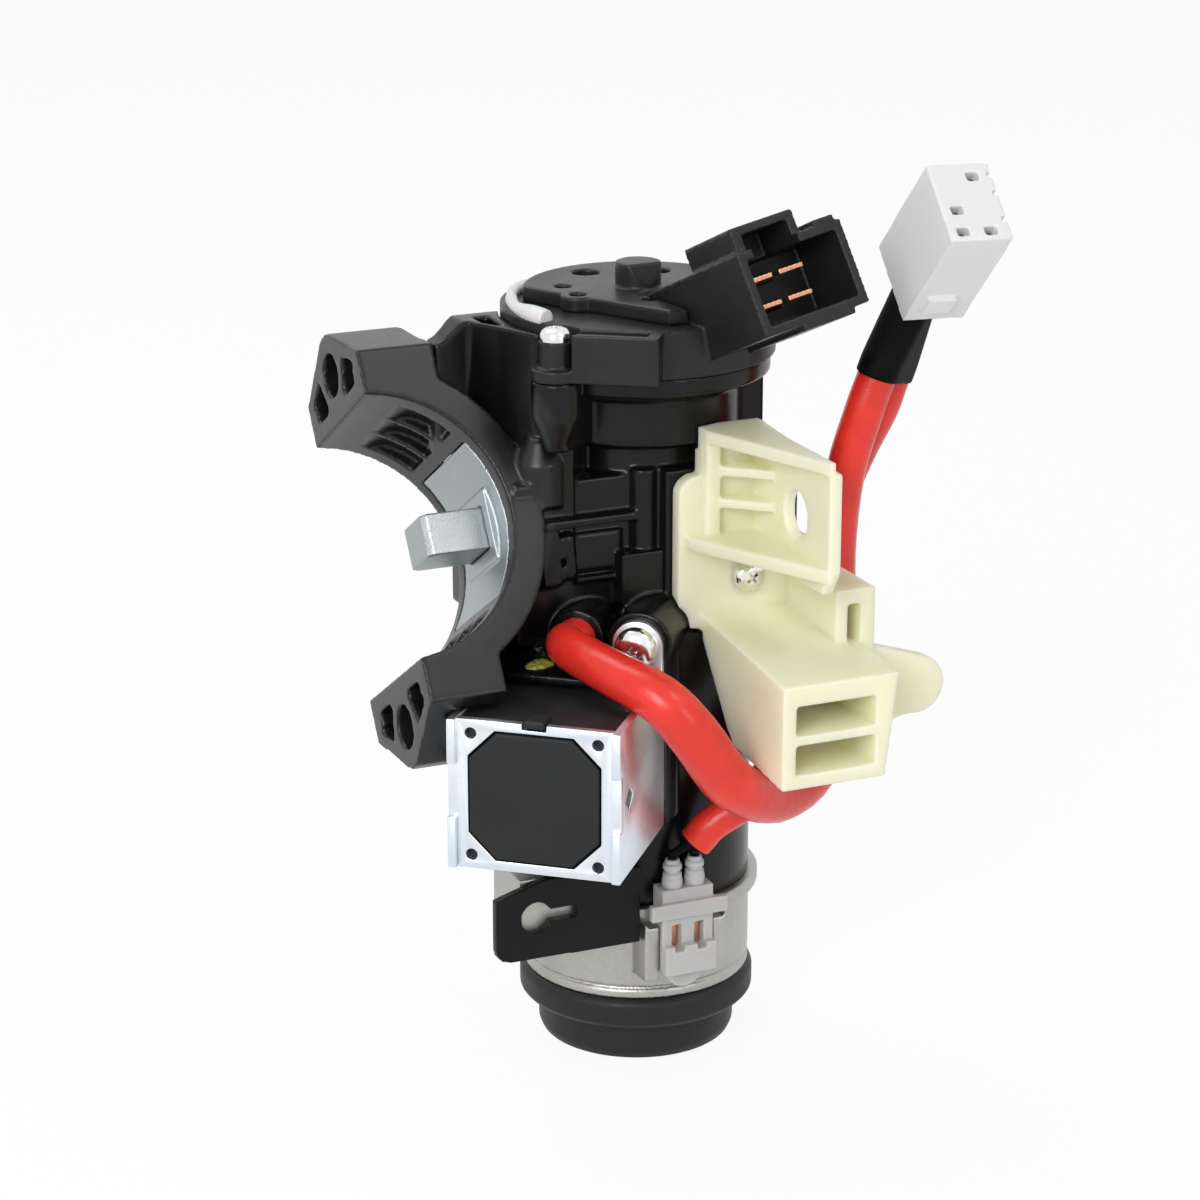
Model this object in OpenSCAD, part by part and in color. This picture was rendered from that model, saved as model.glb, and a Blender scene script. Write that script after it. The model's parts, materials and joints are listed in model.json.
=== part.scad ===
// Ignition switch with steering lock, key interlock solenoid, key-warning switch and harness.
// Origin: midway between the two clamp bolts, on the ears' split face. +X runs to the lock axis,
// -Y faces the bracket and +Z runs along the lock axis from the key to the electrical switch.
// Levels called _z are measured from the lock bolt's axis.

/* [Steering column mount] */
// Outside diameter of the column jacket that the collar clamps
column_d = 44; // [42:0.5:46]
// Distance from the column axis to the lock axis
column_offset = 50; // [49:0.5:53]
// Length of the half collar along the column
collar_len = 29; // [27:1:32]
// Radial height of the collar's end rims
rim_h = 5.5; // [4.5:0.5:6.5]
// Thickness of the collar's end rims
rim_t = 4; // [3:0.5:5]
// Angle of the column away from square to the lock axis
collar_tilt = 32; // [29:1:35]
// Distance between the two clamp bolts
bolt_pitch = 60; // [59:0.5:63]
// Diameter of the clamp bolt holes
bolt_hole_d = 7.2; // [6.4:0.1:8]
// Distance of the ears' split face from the column axis
split_gap = 1.7; // [1:0.1:2.5]
// Depth of the ears behind the split face
ear_depth = 13; // [11:0.5:14]
// Length of each clamp bolt hole that grips the bolt
bolt_grip = 9; // [8:0.5:9.5]

/* [Lock bolt] */
// Width of the lock bolt along the column
bolt_w = 10; // [8:0.5:10.5]
// Thickness of the lock bolt
bolt_t = 7; // [5.5:0.5:7.5]
// How far the bolt stands past the collar floor when locked
bolt_reach = 12; // [9:0.5:14]
// Travel of the bolt from locked to free
bolt_stroke = 7.5; // [6:0.5:7.5]
// Key rotation that withdraws the bolt
key_angle = 110; // [95:5:120]
// Thickness of the zinc guide plate in the collar floor
guide_t = 3.5; // [2.5:0.5:4]

/* [Lock cylinder] */
// Distance from the bolt axis to the end of the lower barrel
barrel_len = 62.8; // [61:0.4:66]
// Diameter of the lower barrel
barrel_d = 38.8; // [38:0.2:39.6]
// Diameter of the lock sleeve below the barrel
sleeve_d = 39; // [38:0.2:39.6]
// Diameter of the sleeve's lip under the barrel
lip_d = 42; // [40:0.5:43]
// Length of bare sleeve between barrel and cap
sleeve_show = 17.2; // [16:0.4:20]
// Diameter of the key plug
plug_d = 16; // [15:0.2:17]
// Diameter of the cap's flange
cap_d = 40.6; // [40:0.2:42]
// Diameter of the cap's skirt
skirt_d = 34; // [33:0.5:36]
// Height of the cap
cap_h = 13; // [12:0.5:15]
// Number of tumbler wafers
wafer_count = 6; // [6:1:6]

/* [Interlock solenoid] */
// Direction of the solenoid, turned from the front towards the column
sol_angle = 40; // [38:1:42]
// Sideways offset of the solenoid axis from the lock axis
sol_shift = 3; // [2.5:0.5:3.5]
// Distance of the solenoid axis below the bolt axis
sol_drop = 33; // [32.5:0.5:34]
// Distance from the lock axis to the solenoid pad
sol_pad = 24; // [23.5:0.5:25]
// Width over the solenoid's side plates
sol_w = 28.6; // [27:0.2:29]
// Height of the solenoid
sol_h = 25.2; // [24:0.2:26]
// Length of the solenoid from pad to front plate
sol_len = 26; // [25:0.5:28]
// Thickness of the steel sheet
sheet_t = 1.4; // [1:0.1:1.6]
// Diameter of the plunger
plunger_d = 8; // [7:0.2:8.4]
// Travel of the plunger
plunger_stroke = 4; // [3:0.5:4]

/* [Electrical switch] */
// Height of the switch seat above the bolt axis
seat_z = 29; // [28.5:0.5:31]
// Diameter of the switch base
switch_d = 45.6; // [45:0.2:46.4]
// Height of the switch base
base_h = 8; // [7.5:0.5:9]
// Thickness of the switch cover
cover_t = 2.5; // [2:0.5:3.5]
// Diameter of the hub on the cover
hub_d = 7.6; // [6:0.2:9]
// Height of the hub above the cover
hub_h = 4.1; // [3:0.1:5]
// Width of the connector shroud
shroud_w = 20; // [19:0.5:21]
// Height of the connector shroud
shroud_h = 13.9; // [13:0.2:15]
// Length of the connector shroud
shroud_len = 27; // [25:0.5:29]
// Wall of the connector shroud
shroud_wall = 1.5; // [1.2:0.1:1.8]
// Depth of the connector mouth
mouth_depth = 13; // [11:0.5:14]
// Width of the terminal blades
blade_w = 4.6; // [4:0.1:5]
// Thickness of the terminal blades
blade_t = 0.8; // [0.6:0.1:1]

/* [Bracket] */
// Distance from the lock axis to the bracket pad on the housing
pad_y = 16; // [15.5:0.5:17]
// Wall of the bracket
bracket_t = 2.6; // [2.2:0.1:3]
// Reach of the slotted box in front of the pad
box_reach = 33.4; // [32:0.2:35]
// Reach of the eye plate in front of the pad
eye_reach = 30; // [28:0.5:32]
// Diameter of the hole in the eye plate
eye_d = 8; // [6:0.2:9]
// Diameter of the bracket screw's head
bracket_head_d = 5.6; // [5:0.2:6.4]

/* [Key-warning switch] */
// Width of the switch body
warn_w = 9.4; // [9:0.2:10]
// Width of the cross bar
warn_bar_w = 14; // [13:0.5:15]
// Spacing of the two wires
warn_pitch = 4.1; // [3.8:0.1:4.4]
// Diameter of the wire seals
seal_d = 3.5; // [3:0.1:3.7]

/* [Harness] */
// Diameter of the solenoid's red sleeve
conduit_a_d = 6.6; // [6:0.2:7]
// Diameter of the key-warning switch's red sleeve
conduit_b_d = 5.8; // [5.2:0.2:6]
// Diameter of the black wires
wire_d = 1.6; // [1.4:0.1:1.9]
// Width of the white plug
plug_w = 11; // [10:0.5:12]
// Height of the white plug
plug_h = 14.8; // [14:0.2:16]
// Length of the white plug
plug_len = 22.8; // [21:0.2:24]

/* [Fits] */
// Radial clearance of running fits
run_fit = 0.05; // [0.03:0.01:0.08]
// Side clearance of moulded guides
guide_gap = 0.3; // [0.2:0.05:0.4]

/* [Hidden] */
$fn = 64;
eps = 0.01;
cut = 60;

black_gloss = "#17181a";
black_matte = "#232426";
zinc = "#b9bcbf";
steel = "#cfd3d6";
copper = "#c9875b";
cream = "#e9e6cb";
red = "#d8352b";
white = "#f1f2f2";

// Column and collar
column_r = column_d / 2;
rim_r = column_r + rim_h;
shell_r = column_r + 3;
ear_in = column_r - 1.5;
lock_x = column_offset - split_gap;
ear_shoulder = bolt_pitch / 2 - 0.7;
ear_peak = bolt_pitch / 2 + 6.8;
ear_pocket = [[4.4, -3.9], [5.6, -5.9], [12.3, -4.4], [10.8, -1.2], [6.6, 0.9]];
guide_arc = 36;
pocket_angle = guide_arc + 7;
pocket_centre = 9;
pocket_depth = 2.2;
pocket_rib = 1.2;
pocket_w = (collar_len - 2 * rim_t - 2 * pocket_rib) / 3;
guide_half = 11;
guide_boss = [1.4, bolt_w + 5, bolt_t + 5];

// Bolt slider and cam, in lock coordinates
floor_x = column_r - column_offset;
shaft_r = 5;
pin_r = 2;
pin_start = shaft_r + pin_r + 0.5;
cam_run = 0.15;
slider_t = 6;
slider_w = 21;
window_w = 2 * (shaft_r + guide_gap);
slider_end = pin_start + pin_r + 3.5;
slider_back = -(shaft_r + bolt_stroke + 0.5) - 3;
chamber_end = slider_end + bolt_stroke + 1.5;
cover_t2 = 2;
chamber_step = 1;
cam_t = 5;
cam_top = -slider_t / 2 - 1;
cam_room = pin_start + bolt_stroke - pin_r + 0.6;
spring_y = 7.9;
spring_room_r = 2;
spring_wire = 0.6;
spring_r = spring_room_r - spring_wire / 2 - 0.15;
spring_start = -9;

// Housing levels and outlines
neck_r = 13.3;
upper_r = 17.1;
upper_z = 16.5;
seat_r = 22;
box_low = -14;
shoulder_z = box_low - 1.4;
box_top = 11;
box_left = -27;
box_front = -11.4;
box_back = 17;
pad_x = [-2.2, 22];
pad_z = [-14, 12];
rib_t = 1.4;
web_top = 35.4;
barrel_r = barrel_d / 2;
rotor_room_r = 13;

// Lock cylinder levels
barrel_z = -barrel_len;
cap_top = barrel_z - sleeve_show;
cap_low = cap_top - cap_h;
sleeve_r = sleeve_d / 2;
sleeve_neck_r = barrel_r - 2.9;
sleeve_top = -41.2;
lip_t = 2.2;
nose_r = 14;
nose_low = cap_low + 2.5;
plug_r = plug_d / 2;
plug_head_r = plug_r + 2;
plug_low = nose_low + 0.5;
plug_step = plug_low + 3.5;
plug_top = sleeve_top - 1;
tang = [3, 9];
tang_top = -38;
keyway = [2.6, 9];
shutter_room = [5.8, 12, 13];
shutter_t = 1;
shutter_pin_r = 0.7;
shutter_pin_y = 4.6;
wafer_t = 1.6;
wafer_pitch = 3.4;
wafer_low = plug_low + shutter_room[2] + 3;
wafer_size = [10, 12];

// Interlock disc on the cam shaft
disc_r = 12.5;
disc_room_r = disc_r + 0.7;
disc_low = -40;
disc_top = -26;
groove_h = 7;
groove_r = 7.8;

// Solenoid, outwards along -Y of its own frame
sol_z = -sol_drop;
sol_front = sol_pad + sol_len;
sol_in_w = sol_w - 2 * sheet_t;
octagon = 22;
octagon_cut = 4.5;
bobbin_flange = 2.6;
plunger_r = plunger_d / 2;
bobbin_bore = plunger_r + run_fit;
bobbin_tube = bobbin_bore + 0.9;
coil_r = 11;
tip_r = 2.5;
tip_end = groove_r + 1.5;
tip_root = sol_pad - 2;
plunger_end = sol_pad + 9;
core_start = plunger_end + plunger_stroke + 0.4;
plunger_well = 5;
plunger_spring_wire = 0.5;
plunger_spring_r = 1.7;
tab_w = 8.4;
sol_screw_x = 7 + sol_shift;
sol_screw_z = sol_h / 2 + 6;
screw_boss_r = 5.4;
shelf_reach = 8;
port_at = [-0.7, sol_h / 2 + 6.2];

// Key side of the sleeve
warn_x = -1.2;
warn_gap = 0.2;
warn_face = -(barrel_d / 2 + warn_gap);
warn_t = 4;
rail_w = 2.6;
rail_front = warn_face - 3.4;
boss_box = [[-30, -19.6, -67], [-9.4, -8, -54]];
plate_end = warn_x - warn_w / 2 - rail_w - warn_gap - guide_gap;
plate_t = 1.8;

// Electrical switch
switch_r = switch_d / 2;
base_top = seat_z + base_h;
cover_r = 19;
cover_flat = 12.1;
screw_az = [-56, 124];
screw_at = switch_r + 2.4;
lug_r = 4;
lug_t = 2;
boss_r = 2.7;
boss_top = base_top - 1.5;
screw_r = 1.25;
shroud_at = [10, -11.5, 36.5];
shroud_turn = [-23.2, 0, 4.2];
shroud_roll = -10.8;
rotor_r = 12.5;
rotor_low = 21.3;
rotor_top = base_top - 2.6;
shaft_top = 21;
shaft_tang = [4, 9];
shaft_tang_top = 26;

// Bracket
flange_y = -(pad_y + 3);
eye_x = 12.2;
eye_t = 2.2;
eye_at = [-34, 7.9];
eye_top = 19.4;
box_x = [2.9, 23.6];
box_z = [-33, -12.2];
box_face = -(pad_y + box_reach);
mid_x = [19, 26.2];
mid_z = [-17, -3.4];
mid_front = -36;
tab_at = [35, -24];
tab_r = 5;
bracket_screw_at = [11.3, -6.5];

// Harness routes, in lock coordinates
conduit_a_route = [
  [-19.6, -30, -15], [-14.6, -40.5, -17.5], [-9.5, -42.6, -23.6], [-2.2, -41.2, -33.4], [9, -35, -40], [20, -28, -39],
  [28, -20, -31], [30.5, -15, -19], [30.2, -14.5, -6], [30.8, -16, 8]
];
conduit_b_route = [
  [2.5, -25, -47], [8, -26, -43.5], [15, -22, -40], [22, -14, -34], [29, -6, -20], [33, -5, -6], [36.5, -9, 8]
];
conduit_b_end = [-0.1, -23.9, -50.3];
plug_at = [43.3, -17.3, 39.6];
plug_turn = [44, 1.9, -3.1];
boot_at = [37.9, -16, 23.7];
boot_dir = unit(plug_at - boot_at);
boot_side = unit(cross(boot_dir, [0.4, -0.55, 0]));
port_out = [-sin(sol_angle), -cos(sol_angle), 0];
port_side = [cos(sol_angle), -sin(sol_angle), 0];
port_face = sol_pad * port_out + (port_at[0] - sol_shift) * port_side + [0, 0, sol_z + port_at[1]];
terminal_uv = [[0.69, 0.17], [0.26, 0.6], [0.24, 0.88], [0.69, 0.88]];

// Frames

module at_lock() { translate([lock_x, 0, 0]) children(); }

// z along the column away from the front, x to the lock, y down
module on_column() { translate([-split_gap, 0, 0]) rotate([-(90 + collar_tilt), 0, 0]) children(); }

// x along the bolt, y along the column, z across the bolt
module at_bolt() { at_lock() rotate([-collar_tilt, 0, 0]) children(); }

// -y outwards along the solenoid, centred on its axis
module at_solenoid() { at_lock() rotate([0, 0, -sol_angle]) translate([-sol_shift, 0, sol_z]) children(); }

// -y out of the connector mouth, centred on the shroud
module at_shroud() { at_lock() translate(shroud_at) rotate(shroud_turn) rotate([0, shroud_roll, 0]) children(); }

module at_plug() { at_lock() translate(plug_at) rotate(plug_turn) children(); }

// Turns children from -Y towards -X by -az degrees
module facing(az) { at_lock() rotate([0, 0, az]) children(); }

// Shapes

function unit(v) = v / norm(v);

function tangents(p) = [for (i = [0:len(p) - 1]) unit(p[min(i + 1, len(p) - 1)] - p[max(i - 1, 0)])];

function carried(t, n, i = 0) =
  i >= len(t) ? [] : let(m = unit(n - (n * t[i]) * t[i])) concat([m], carried(t, m, i + 1));

function blend(a, b, c, d, t) =
  0.5 * (2 * b + (c - a) * t + (2 * a - 5 * b + 4 * c - d) * t * t + (3 * b - a - 3 * c + d) * t * t * t);

function smooth(p, k) = let(n = len(p) - 1) concat(
  [for (i = [0:n - 1]) for (j = [0:k - 1])
    blend(i == 0 ? 2 * p[0] - p[1] : p[i - 1], p[i], p[i + 1], i + 2 > n ? 2 * p[n] - p[n - 1] : p[i + 2], j / k)],
  [p[n]]);

function helix(r, length, turns, steps) =
  [for (i = [0:turns * steps]) [r * cos(360 * i / steps), r * sin(360 * i / steps), length * i / (turns * steps)]];

// Round tube swept along a list of points, swollen by a share of its radius about a place along it
module tube(route, r, sides, swell = 0, place = 0.4) {
  t = tangents(route);
  n = carried(t, abs(t[0][2]) < 0.9 ? [0, 0, 1] : [1, 0, 0]);
  last = len(route) - 1;
  points = [for (i = [0:last]) for (j = [0:sides - 1])
    route[i] + r * (1 + swell * exp(-pow((i / last - place) / 0.2, 2))) * (cos(360 * j / sides) * n[i] + sin(360 * j / sides) * cross(t[i], n[i]))];
  wall = [for (i = [0:last - 1]) for (j = [0:sides - 1])
    let(a = i * sides + j, b = i * sides + (j + 1) % sides) each [[a, b + sides, b], [a, a + sides, b + sides]]];
  near = [for (j = [0:sides - 1]) j];
  far = [for (j = [0:sides - 1]) last * sides + sides - 1 - j];
  polyhedron(points, concat(wall, [near, far]), convexity = 6);
}

module spring(r, wire, length, turns) {
  translate([0, 0, wire / 2]) tube(helix(r, length - wire, turns, 10), wire / 2, 6);
}

module block(low, high) { translate(low) cube(high - low); }

module tube_y(r, from, to) { translate([0, -from, 0]) rotate([90, 0, 0]) cylinder(r = r, h = to - from); }

module sector(r0, r1, h, half) {
  rotate([0, 0, -half]) rotate_extrude(angle = 2 * half) translate([r0, 0]) square([r1 - r0, h]);
}

module pan_screw(head_d, head_h, shank_r, shank) {
  cylinder(d = head_d, h = head_h * 0.5);
  translate([0, 0, head_h * 0.5]) cylinder(d1 = head_d, d2 = head_d * 0.62, h = head_h * 0.5);
  translate([0, 0, -shank]) cylinder(r = shank_r, h = shank + eps);
}

// Housing

module barrel_outer() {
  rotate_extrude() polygon([
    [0, barrel_z], [barrel_r, barrel_z], [barrel_r, shoulder_z], [neck_r, shoulder_z], [neck_r, upper_z - 1],
    [upper_r, upper_z], [upper_r, seat_z - 5], [seat_r, seat_z - 3], [seat_r, seat_z], [0, seat_z]
  ]);
}

module mid_box() {
  block([box_left, box_front, shoulder_z - 1], [chamber_end + cover_t2, box_back, box_top]);
  block([pad_x[0], -pad_y, pad_z[0]], [pad_x[1], 0, pad_z[1]]);
  // Half-round rib beside the bracket pad
  translate([pad_x[0] - 2, box_front, box_low]) cylinder(r = 2.6, h = box_top - box_low + 1);
  block([box_left, box_front - 2, 3.6], [pad_x[0] - 2, box_front + 1, 3.6 + rib_t]);
  block([-16.6, box_front - 0.7, -4.6], [-8.4, box_front + 1, 1.8]);
  block([-16.5, box_front - 1.2, -6.2], [-9, box_front + 1, -5.4]);
  // Front of the cam chamber
  block([-cam_room * 0.7, -cam_room - 1.2, cam_top - cam_t - 1.6], [pad_x[0], 0, cam_top + 2.2]);
  // Two leaning slabs against the collar
  for (p = [[-22.6, -6.4, 3.4, 9.4], [-18.6, -5.4, 1.9, 7.6]]) translate([p[0], box_front, p[1]]) rotate([0, -4, 0])
    block([0, -1.9, 0], [p[2], 1, p[3]]);
  // Bulge between the collar and the upper barrel
  translate([-21, -8, 7]) cylinder(r = 4.4, h = 7);
  translate([-21, -8, 14]) cylinder(r1 = 4.4, r2 = 2.4, h = 4);
  ear_web();
  block([14, -7, box_top - 1], [20, 6, seat_z - 3]);
}

module half_collar() {
  on_column() difference() {
    union() {
      for (end = [-collar_len / 2, collar_len / 2 - rim_t])
        translate([0, 0, end]) sector(column_r, rim_r, rim_t, 90);
      translate([0, 0, -collar_len / 2]) sector(column_r, shell_r, collar_len, 90);
      for (a = [-60, -30, 0, 30, 60]) rotate([0, 0, a])
        block([shell_r - 1, -rib_t / 2, -collar_len / 2], [rim_r - 1, rib_t / 2, collar_len / 2]);
    }
    block([-cut, -cut, -cut], [split_gap, cut, cut]);
    // Pockets in the bearing face that taper off from the guide towards each ear
    for (side = [-1, 1], i = [-1, 0, 1]) rotate([0, 0, side * pocket_angle])
      translate([0, 0, i * (pocket_w + pocket_rib) - pocket_w / 2]) intersection() {
        translate([pocket_centre, 0, 0]) cylinder(r = column_r + pocket_depth - pocket_centre, h = pocket_w);
        block([0, side > 0 ? 0 : -cut, 0], [cut, side > 0 ? cut : 0, pocket_w]);
      }
  }
}

module ear_outline() {
  half = collar_len / 2;
  polygon([[half, ear_in], [half, ear_shoulder], [1.5, ear_peak], [-1.5, ear_peak], [-half, ear_shoulder], [-half, ear_in]]);
}

// One ear, with two pockets beside its bolt hole, cut back where the solenoid passes
module ear(side) {
  difference() {
    on_column() rotate([side > 0 ? 0 : 180, 0, 0]) rotate([180, -90, 0]) translate([0, 0, split_gap]) difference() {
      linear_extrude(ear_depth) ear_outline();
      for (m = [0, 1]) mirror([m, 0, 0]) translate([0, bolt_pitch / 2, -eps]) linear_extrude(ear_depth - 2)
        polygon(ear_pocket);
    }
    at_solenoid() block([-sol_w / 2 - 0.6, -cut, -sol_h / 2 - 0.6], [sol_w / 2 + 0.6, -sol_pad, sol_h / 2 + 0.6]);
  }
}

// Web from the upper ear to the switch seat
module ear_web() {
  intersection() {
    linear_extrude(web_top) polygon([[-36, 3.4], [-28.6, 3.4], [-25.6, -2], [-22.5, -9], [-17, -12], [-12, -6], [-12, 9],
      [-30, 9], [-36, 7.4]]);
    translate([0, cut, 0]) rotate([90, 0, 0]) linear_extrude(2 * cut) polygon([[-34.6, 8], [-34.6, web_top - 3.4],
      [-33, web_top - 2.8], [-29.8, web_top], [-10, web_top], [-10, 2], [-28, 2]]);
  }
}

module solenoid_pad() {
  at_solenoid() {
    translate([-sol_w / 2, -sol_pad, -sol_h / 2 - 1]) cube([sol_w, sol_pad - 6, sol_h + 4.4]);
    translate([sol_screw_x, 0, sol_screw_z]) tube_y(screw_boss_r, 4, sol_pad);
    translate([port_at[0], 0, port_at[1]]) tube_y(4.6, 4, sol_pad);
    // Shelf over the back edge of the solenoid
    block([-sol_w / 2, -sol_pad - shelf_reach, sol_h / 2 + guide_gap],
      [sol_screw_x - tab_w / 2 - guide_gap, -sol_pad + eps, sol_h / 2 + 1.9]);
  }
}

module screw_posts() {
  for (az = screw_az) facing(az) translate([0, -screw_at, seat_z - 6]) {
    cylinder(r = lug_r, h = 6);
    translate([0, 0, -6]) cylinder(r1 = 1.5, r2 = lug_r, h = 6);
    block([-2, 0, -6], [2, 8, 6]);
  }
}

module housing_cavities() {
  on_column() translate([0, 0, -cut]) cylinder(r = column_r, h = 2 * cut, $fn = 128);
  on_column() for (s = [-1, 1]) translate([0, s * bolt_pitch / 2, 0]) rotate([0, 90, 0]) {
    cylinder(d = bolt_hole_d, h = cut / 2);
    // Relief behind the bolt's grip
    translate([0, 0, split_gap + bolt_grip]) cylinder(d = bolt_hole_d + 1, h = cut / 2);
  }
  on_column() translate([0, 0, -guide_half - guide_gap / 3])
    sector(column_r - 1, column_r + guide_t + guide_gap / 3, 2 * guide_half + guide_gap * 2 / 3, guide_arc + 0.3);
  at_bolt() block([floor_x, -bolt_w / 2 - guide_gap, -bolt_t / 2 - guide_gap],
    [slider_back + bolt_stroke + 2, bolt_w / 2 + guide_gap, bolt_t / 2 + guide_gap]);
  at_lock() {
    translate([0, 0, barrel_z - eps]) cylinder(r = sleeve_neck_r + run_fit, h = sleeve_top - barrel_z + 0.2);
    translate([0, 0, disc_low - 1.2]) cylinder(r = disc_room_r, h = disc_top - disc_low + 1.5);
    translate([0, 0, disc_top]) cylinder(r = shaft_r + run_fit, h = upper_z + 1 - disc_top);
    translate([0, 0, cam_top - cam_t - guide_gap]) cylinder(r = cam_room, h = cam_t + 1 + guide_gap);
    block([0, -pin_r - guide_gap, cam_top - cam_t - guide_gap], [chamber_end, pin_r + guide_gap, 0]);
    block([slider_back - guide_gap, -slider_w / 2 - guide_gap, -slider_t / 2 - guide_gap],
      [chamber_end + cut, slider_w / 2 + guide_gap, slider_t / 2 + guide_gap]);
    block([chamber_end, -slider_w / 2 - chamber_step, -slider_t / 2 - chamber_step],
      [chamber_end + cut, slider_w / 2 + chamber_step, slider_t / 2 + chamber_step]);
    translate([0, 0, upper_z]) cylinder(r = rotor_room_r, h = cut);
    // Clears the switch base between the web and the seat
    translate([0, 0, seat_z]) cylinder(r = switch_r + guide_gap, h = cut);
    translate([0, 0, -52]) rotate([-90, 0, 0]) cylinder(r = 2 + run_fit, h = cut);
    translate([bracket_screw_at[0], 0, bracket_screw_at[1]]) tube_y(1.25 + run_fit, 11, cut);
    // Side window for the sleeve's boss
    block([-cut, -cut, -cut - 20], [boss_box[1][0] + guide_gap, boss_box[1][1] + guide_gap, boss_box[1][2] + guide_gap]);
    // Core-out in the top of the web
    translate([0, 0, web_top - 5]) linear_extrude(cut) polygon([[-27, 6], [-27, 2], [-24.6, -1.6], [-24.3, 6]]);
  }
  for (az = screw_az) facing(az) translate([0, -screw_at, 0]) {
    translate([0, 0, seat_z - 10]) cylinder(r = screw_r + run_fit, h = cut);
    translate([0, 0, seat_z]) cylinder(r = lug_r + guide_gap, h = cut);
    block([-lug_r - guide_gap, 0, seat_z], [lug_r + guide_gap, screw_at, cut]);
  }
  facing(-34) block([-9, -switch_r - 5, seat_z], [9, 0, cut]);
  at_solenoid() {
    tube_y(tip_r + guide_gap, 0, sol_pad);
    tube_y(plunger_r + guide_gap, tip_root - 0.4, sol_pad + 1);
    translate([sol_screw_x, 0, sol_screw_z]) tube_y(2 + run_fit, sol_pad - 9, cut);
  }
}

module lock_housing() {
  color(black_gloss) difference() {
    union() {
      at_lock() barrel_outer();
      at_lock() mid_box();
      half_collar();
      for (side = [-1, 1]) ear(side);
      solenoid_pad();
      screw_posts();
    }
    housing_cavities();
  }
}

// Steering lock

module guide_plate() {
  color(zinc) difference() {
    on_column() {
      translate([0, 0, -guide_half]) sector(column_r, column_r + guide_t, 2 * guide_half, guide_arc);
      block([column_r - guide_boss[0], -guide_boss[2] / 2, -guide_boss[1] / 2],
        [column_r + 1, guide_boss[2] / 2, guide_boss[1] / 2]);
    }
    at_bolt() block([-cut, -bolt_w / 2 - guide_gap / 2, -bolt_t / 2 - guide_gap / 2],
      [0, bolt_w / 2 + guide_gap / 2, bolt_t / 2 + guide_gap / 2]);
  }
}

module lock_bolt() {
  color(steel) {
    difference() {
      union() {
        at_bolt() block([floor_x - bolt_reach, -bolt_w / 2, -bolt_t / 2], [slider_back + 1, bolt_w / 2, bolt_t / 2]);
        at_lock() block([slider_back, -slider_w / 2, -slider_t / 2], [slider_end, slider_w / 2, slider_t / 2]);
      }
      at_lock() {
        block([slider_back + 3, -window_w / 2, -cut], [window_w / 2, window_w / 2, cut]);
        for (s = [-1, 1]) translate([spring_start, s * spring_y, 0]) rotate([0, 90, 0])
          cylinder(r = spring_room_r, h = cut);
      }
      // Lead-in on the bolt's tip
      at_bolt() for (s = [-1, 1]) translate([floor_x - bolt_reach, s * bolt_w / 2, 0]) rotate([0, 0, 45])
        cube([1.6, 1.6, cut], center = true);
    }
    at_lock() translate([pin_start, 0, cam_top - cam_t + 0.4])
      cylinder(r = pin_r, h = -cam_top + cam_t - 0.4 - slider_t / 2 + eps);
  }
}

module bolt_spring(side) {
  color(steel) at_lock() translate([spring_start, side * spring_y, 0]) rotate([0, 90, 0])
    spring(spring_r, spring_wire, chamber_end - spring_start, 14);
}

module bolt_spring_front() { bolt_spring(-1); }

module bolt_spring_rear() { bolt_spring(1); }

module chamber_cover() {
  inset = chamber_step - run_fit;
  color(black_matte) at_lock() block([chamber_end, -slider_w / 2 - inset, -slider_t / 2 - inset],
    [chamber_end + cover_t2, slider_w / 2 + inset, slider_t / 2 + inset]);
}

// Cam edge that keeps a constant gap to the follower pin while the bolt withdraws at a constant rate
function cam_edge(a) =
  let(rate = bolt_stroke / key_angle, slope = rate * 180 / PI, r = pin_start + rate * a,
    outward = unit([slope * sin(a) + r * cos(a), slope * cos(a) - r * sin(a)]))
  r * [cos(a), -sin(a)] - (pin_r + cam_run) * outward;

module cam_shaft() {
  color(zinc) at_lock() difference() {
    union() {
      translate([0, 0, disc_low]) cylinder(r = disc_r, h = disc_top - disc_low - 0.2);
      translate([0, 0, disc_low]) cylinder(r = shaft_r, h = shaft_top - disc_low);
      translate([0, 0, cam_top - cam_t]) linear_extrude(cam_t)
        polygon(concat([for (i = [0:22]) cam_edge(key_angle * i / 22)], [[-shaft_r, 0], [0, 1]]));
      block([-shaft_tang[0] / 2, -shaft_tang[1] / 2, shaft_top - 1], [shaft_tang[0] / 2, shaft_tang[1] / 2, shaft_tang_top]);
    }
    translate([0, 0, sol_z - groove_h / 2]) rotate_extrude() translate([groove_r, 0]) square([disc_r, groove_h]);
    block([-tang[0] / 2 - run_fit, -tang[1] / 2 - run_fit, disc_low - 1],
      [tang[0] / 2 + run_fit, tang[1] / 2 + run_fit, tang_top + 0.2]);
  }
}

// Lock cylinder

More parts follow.
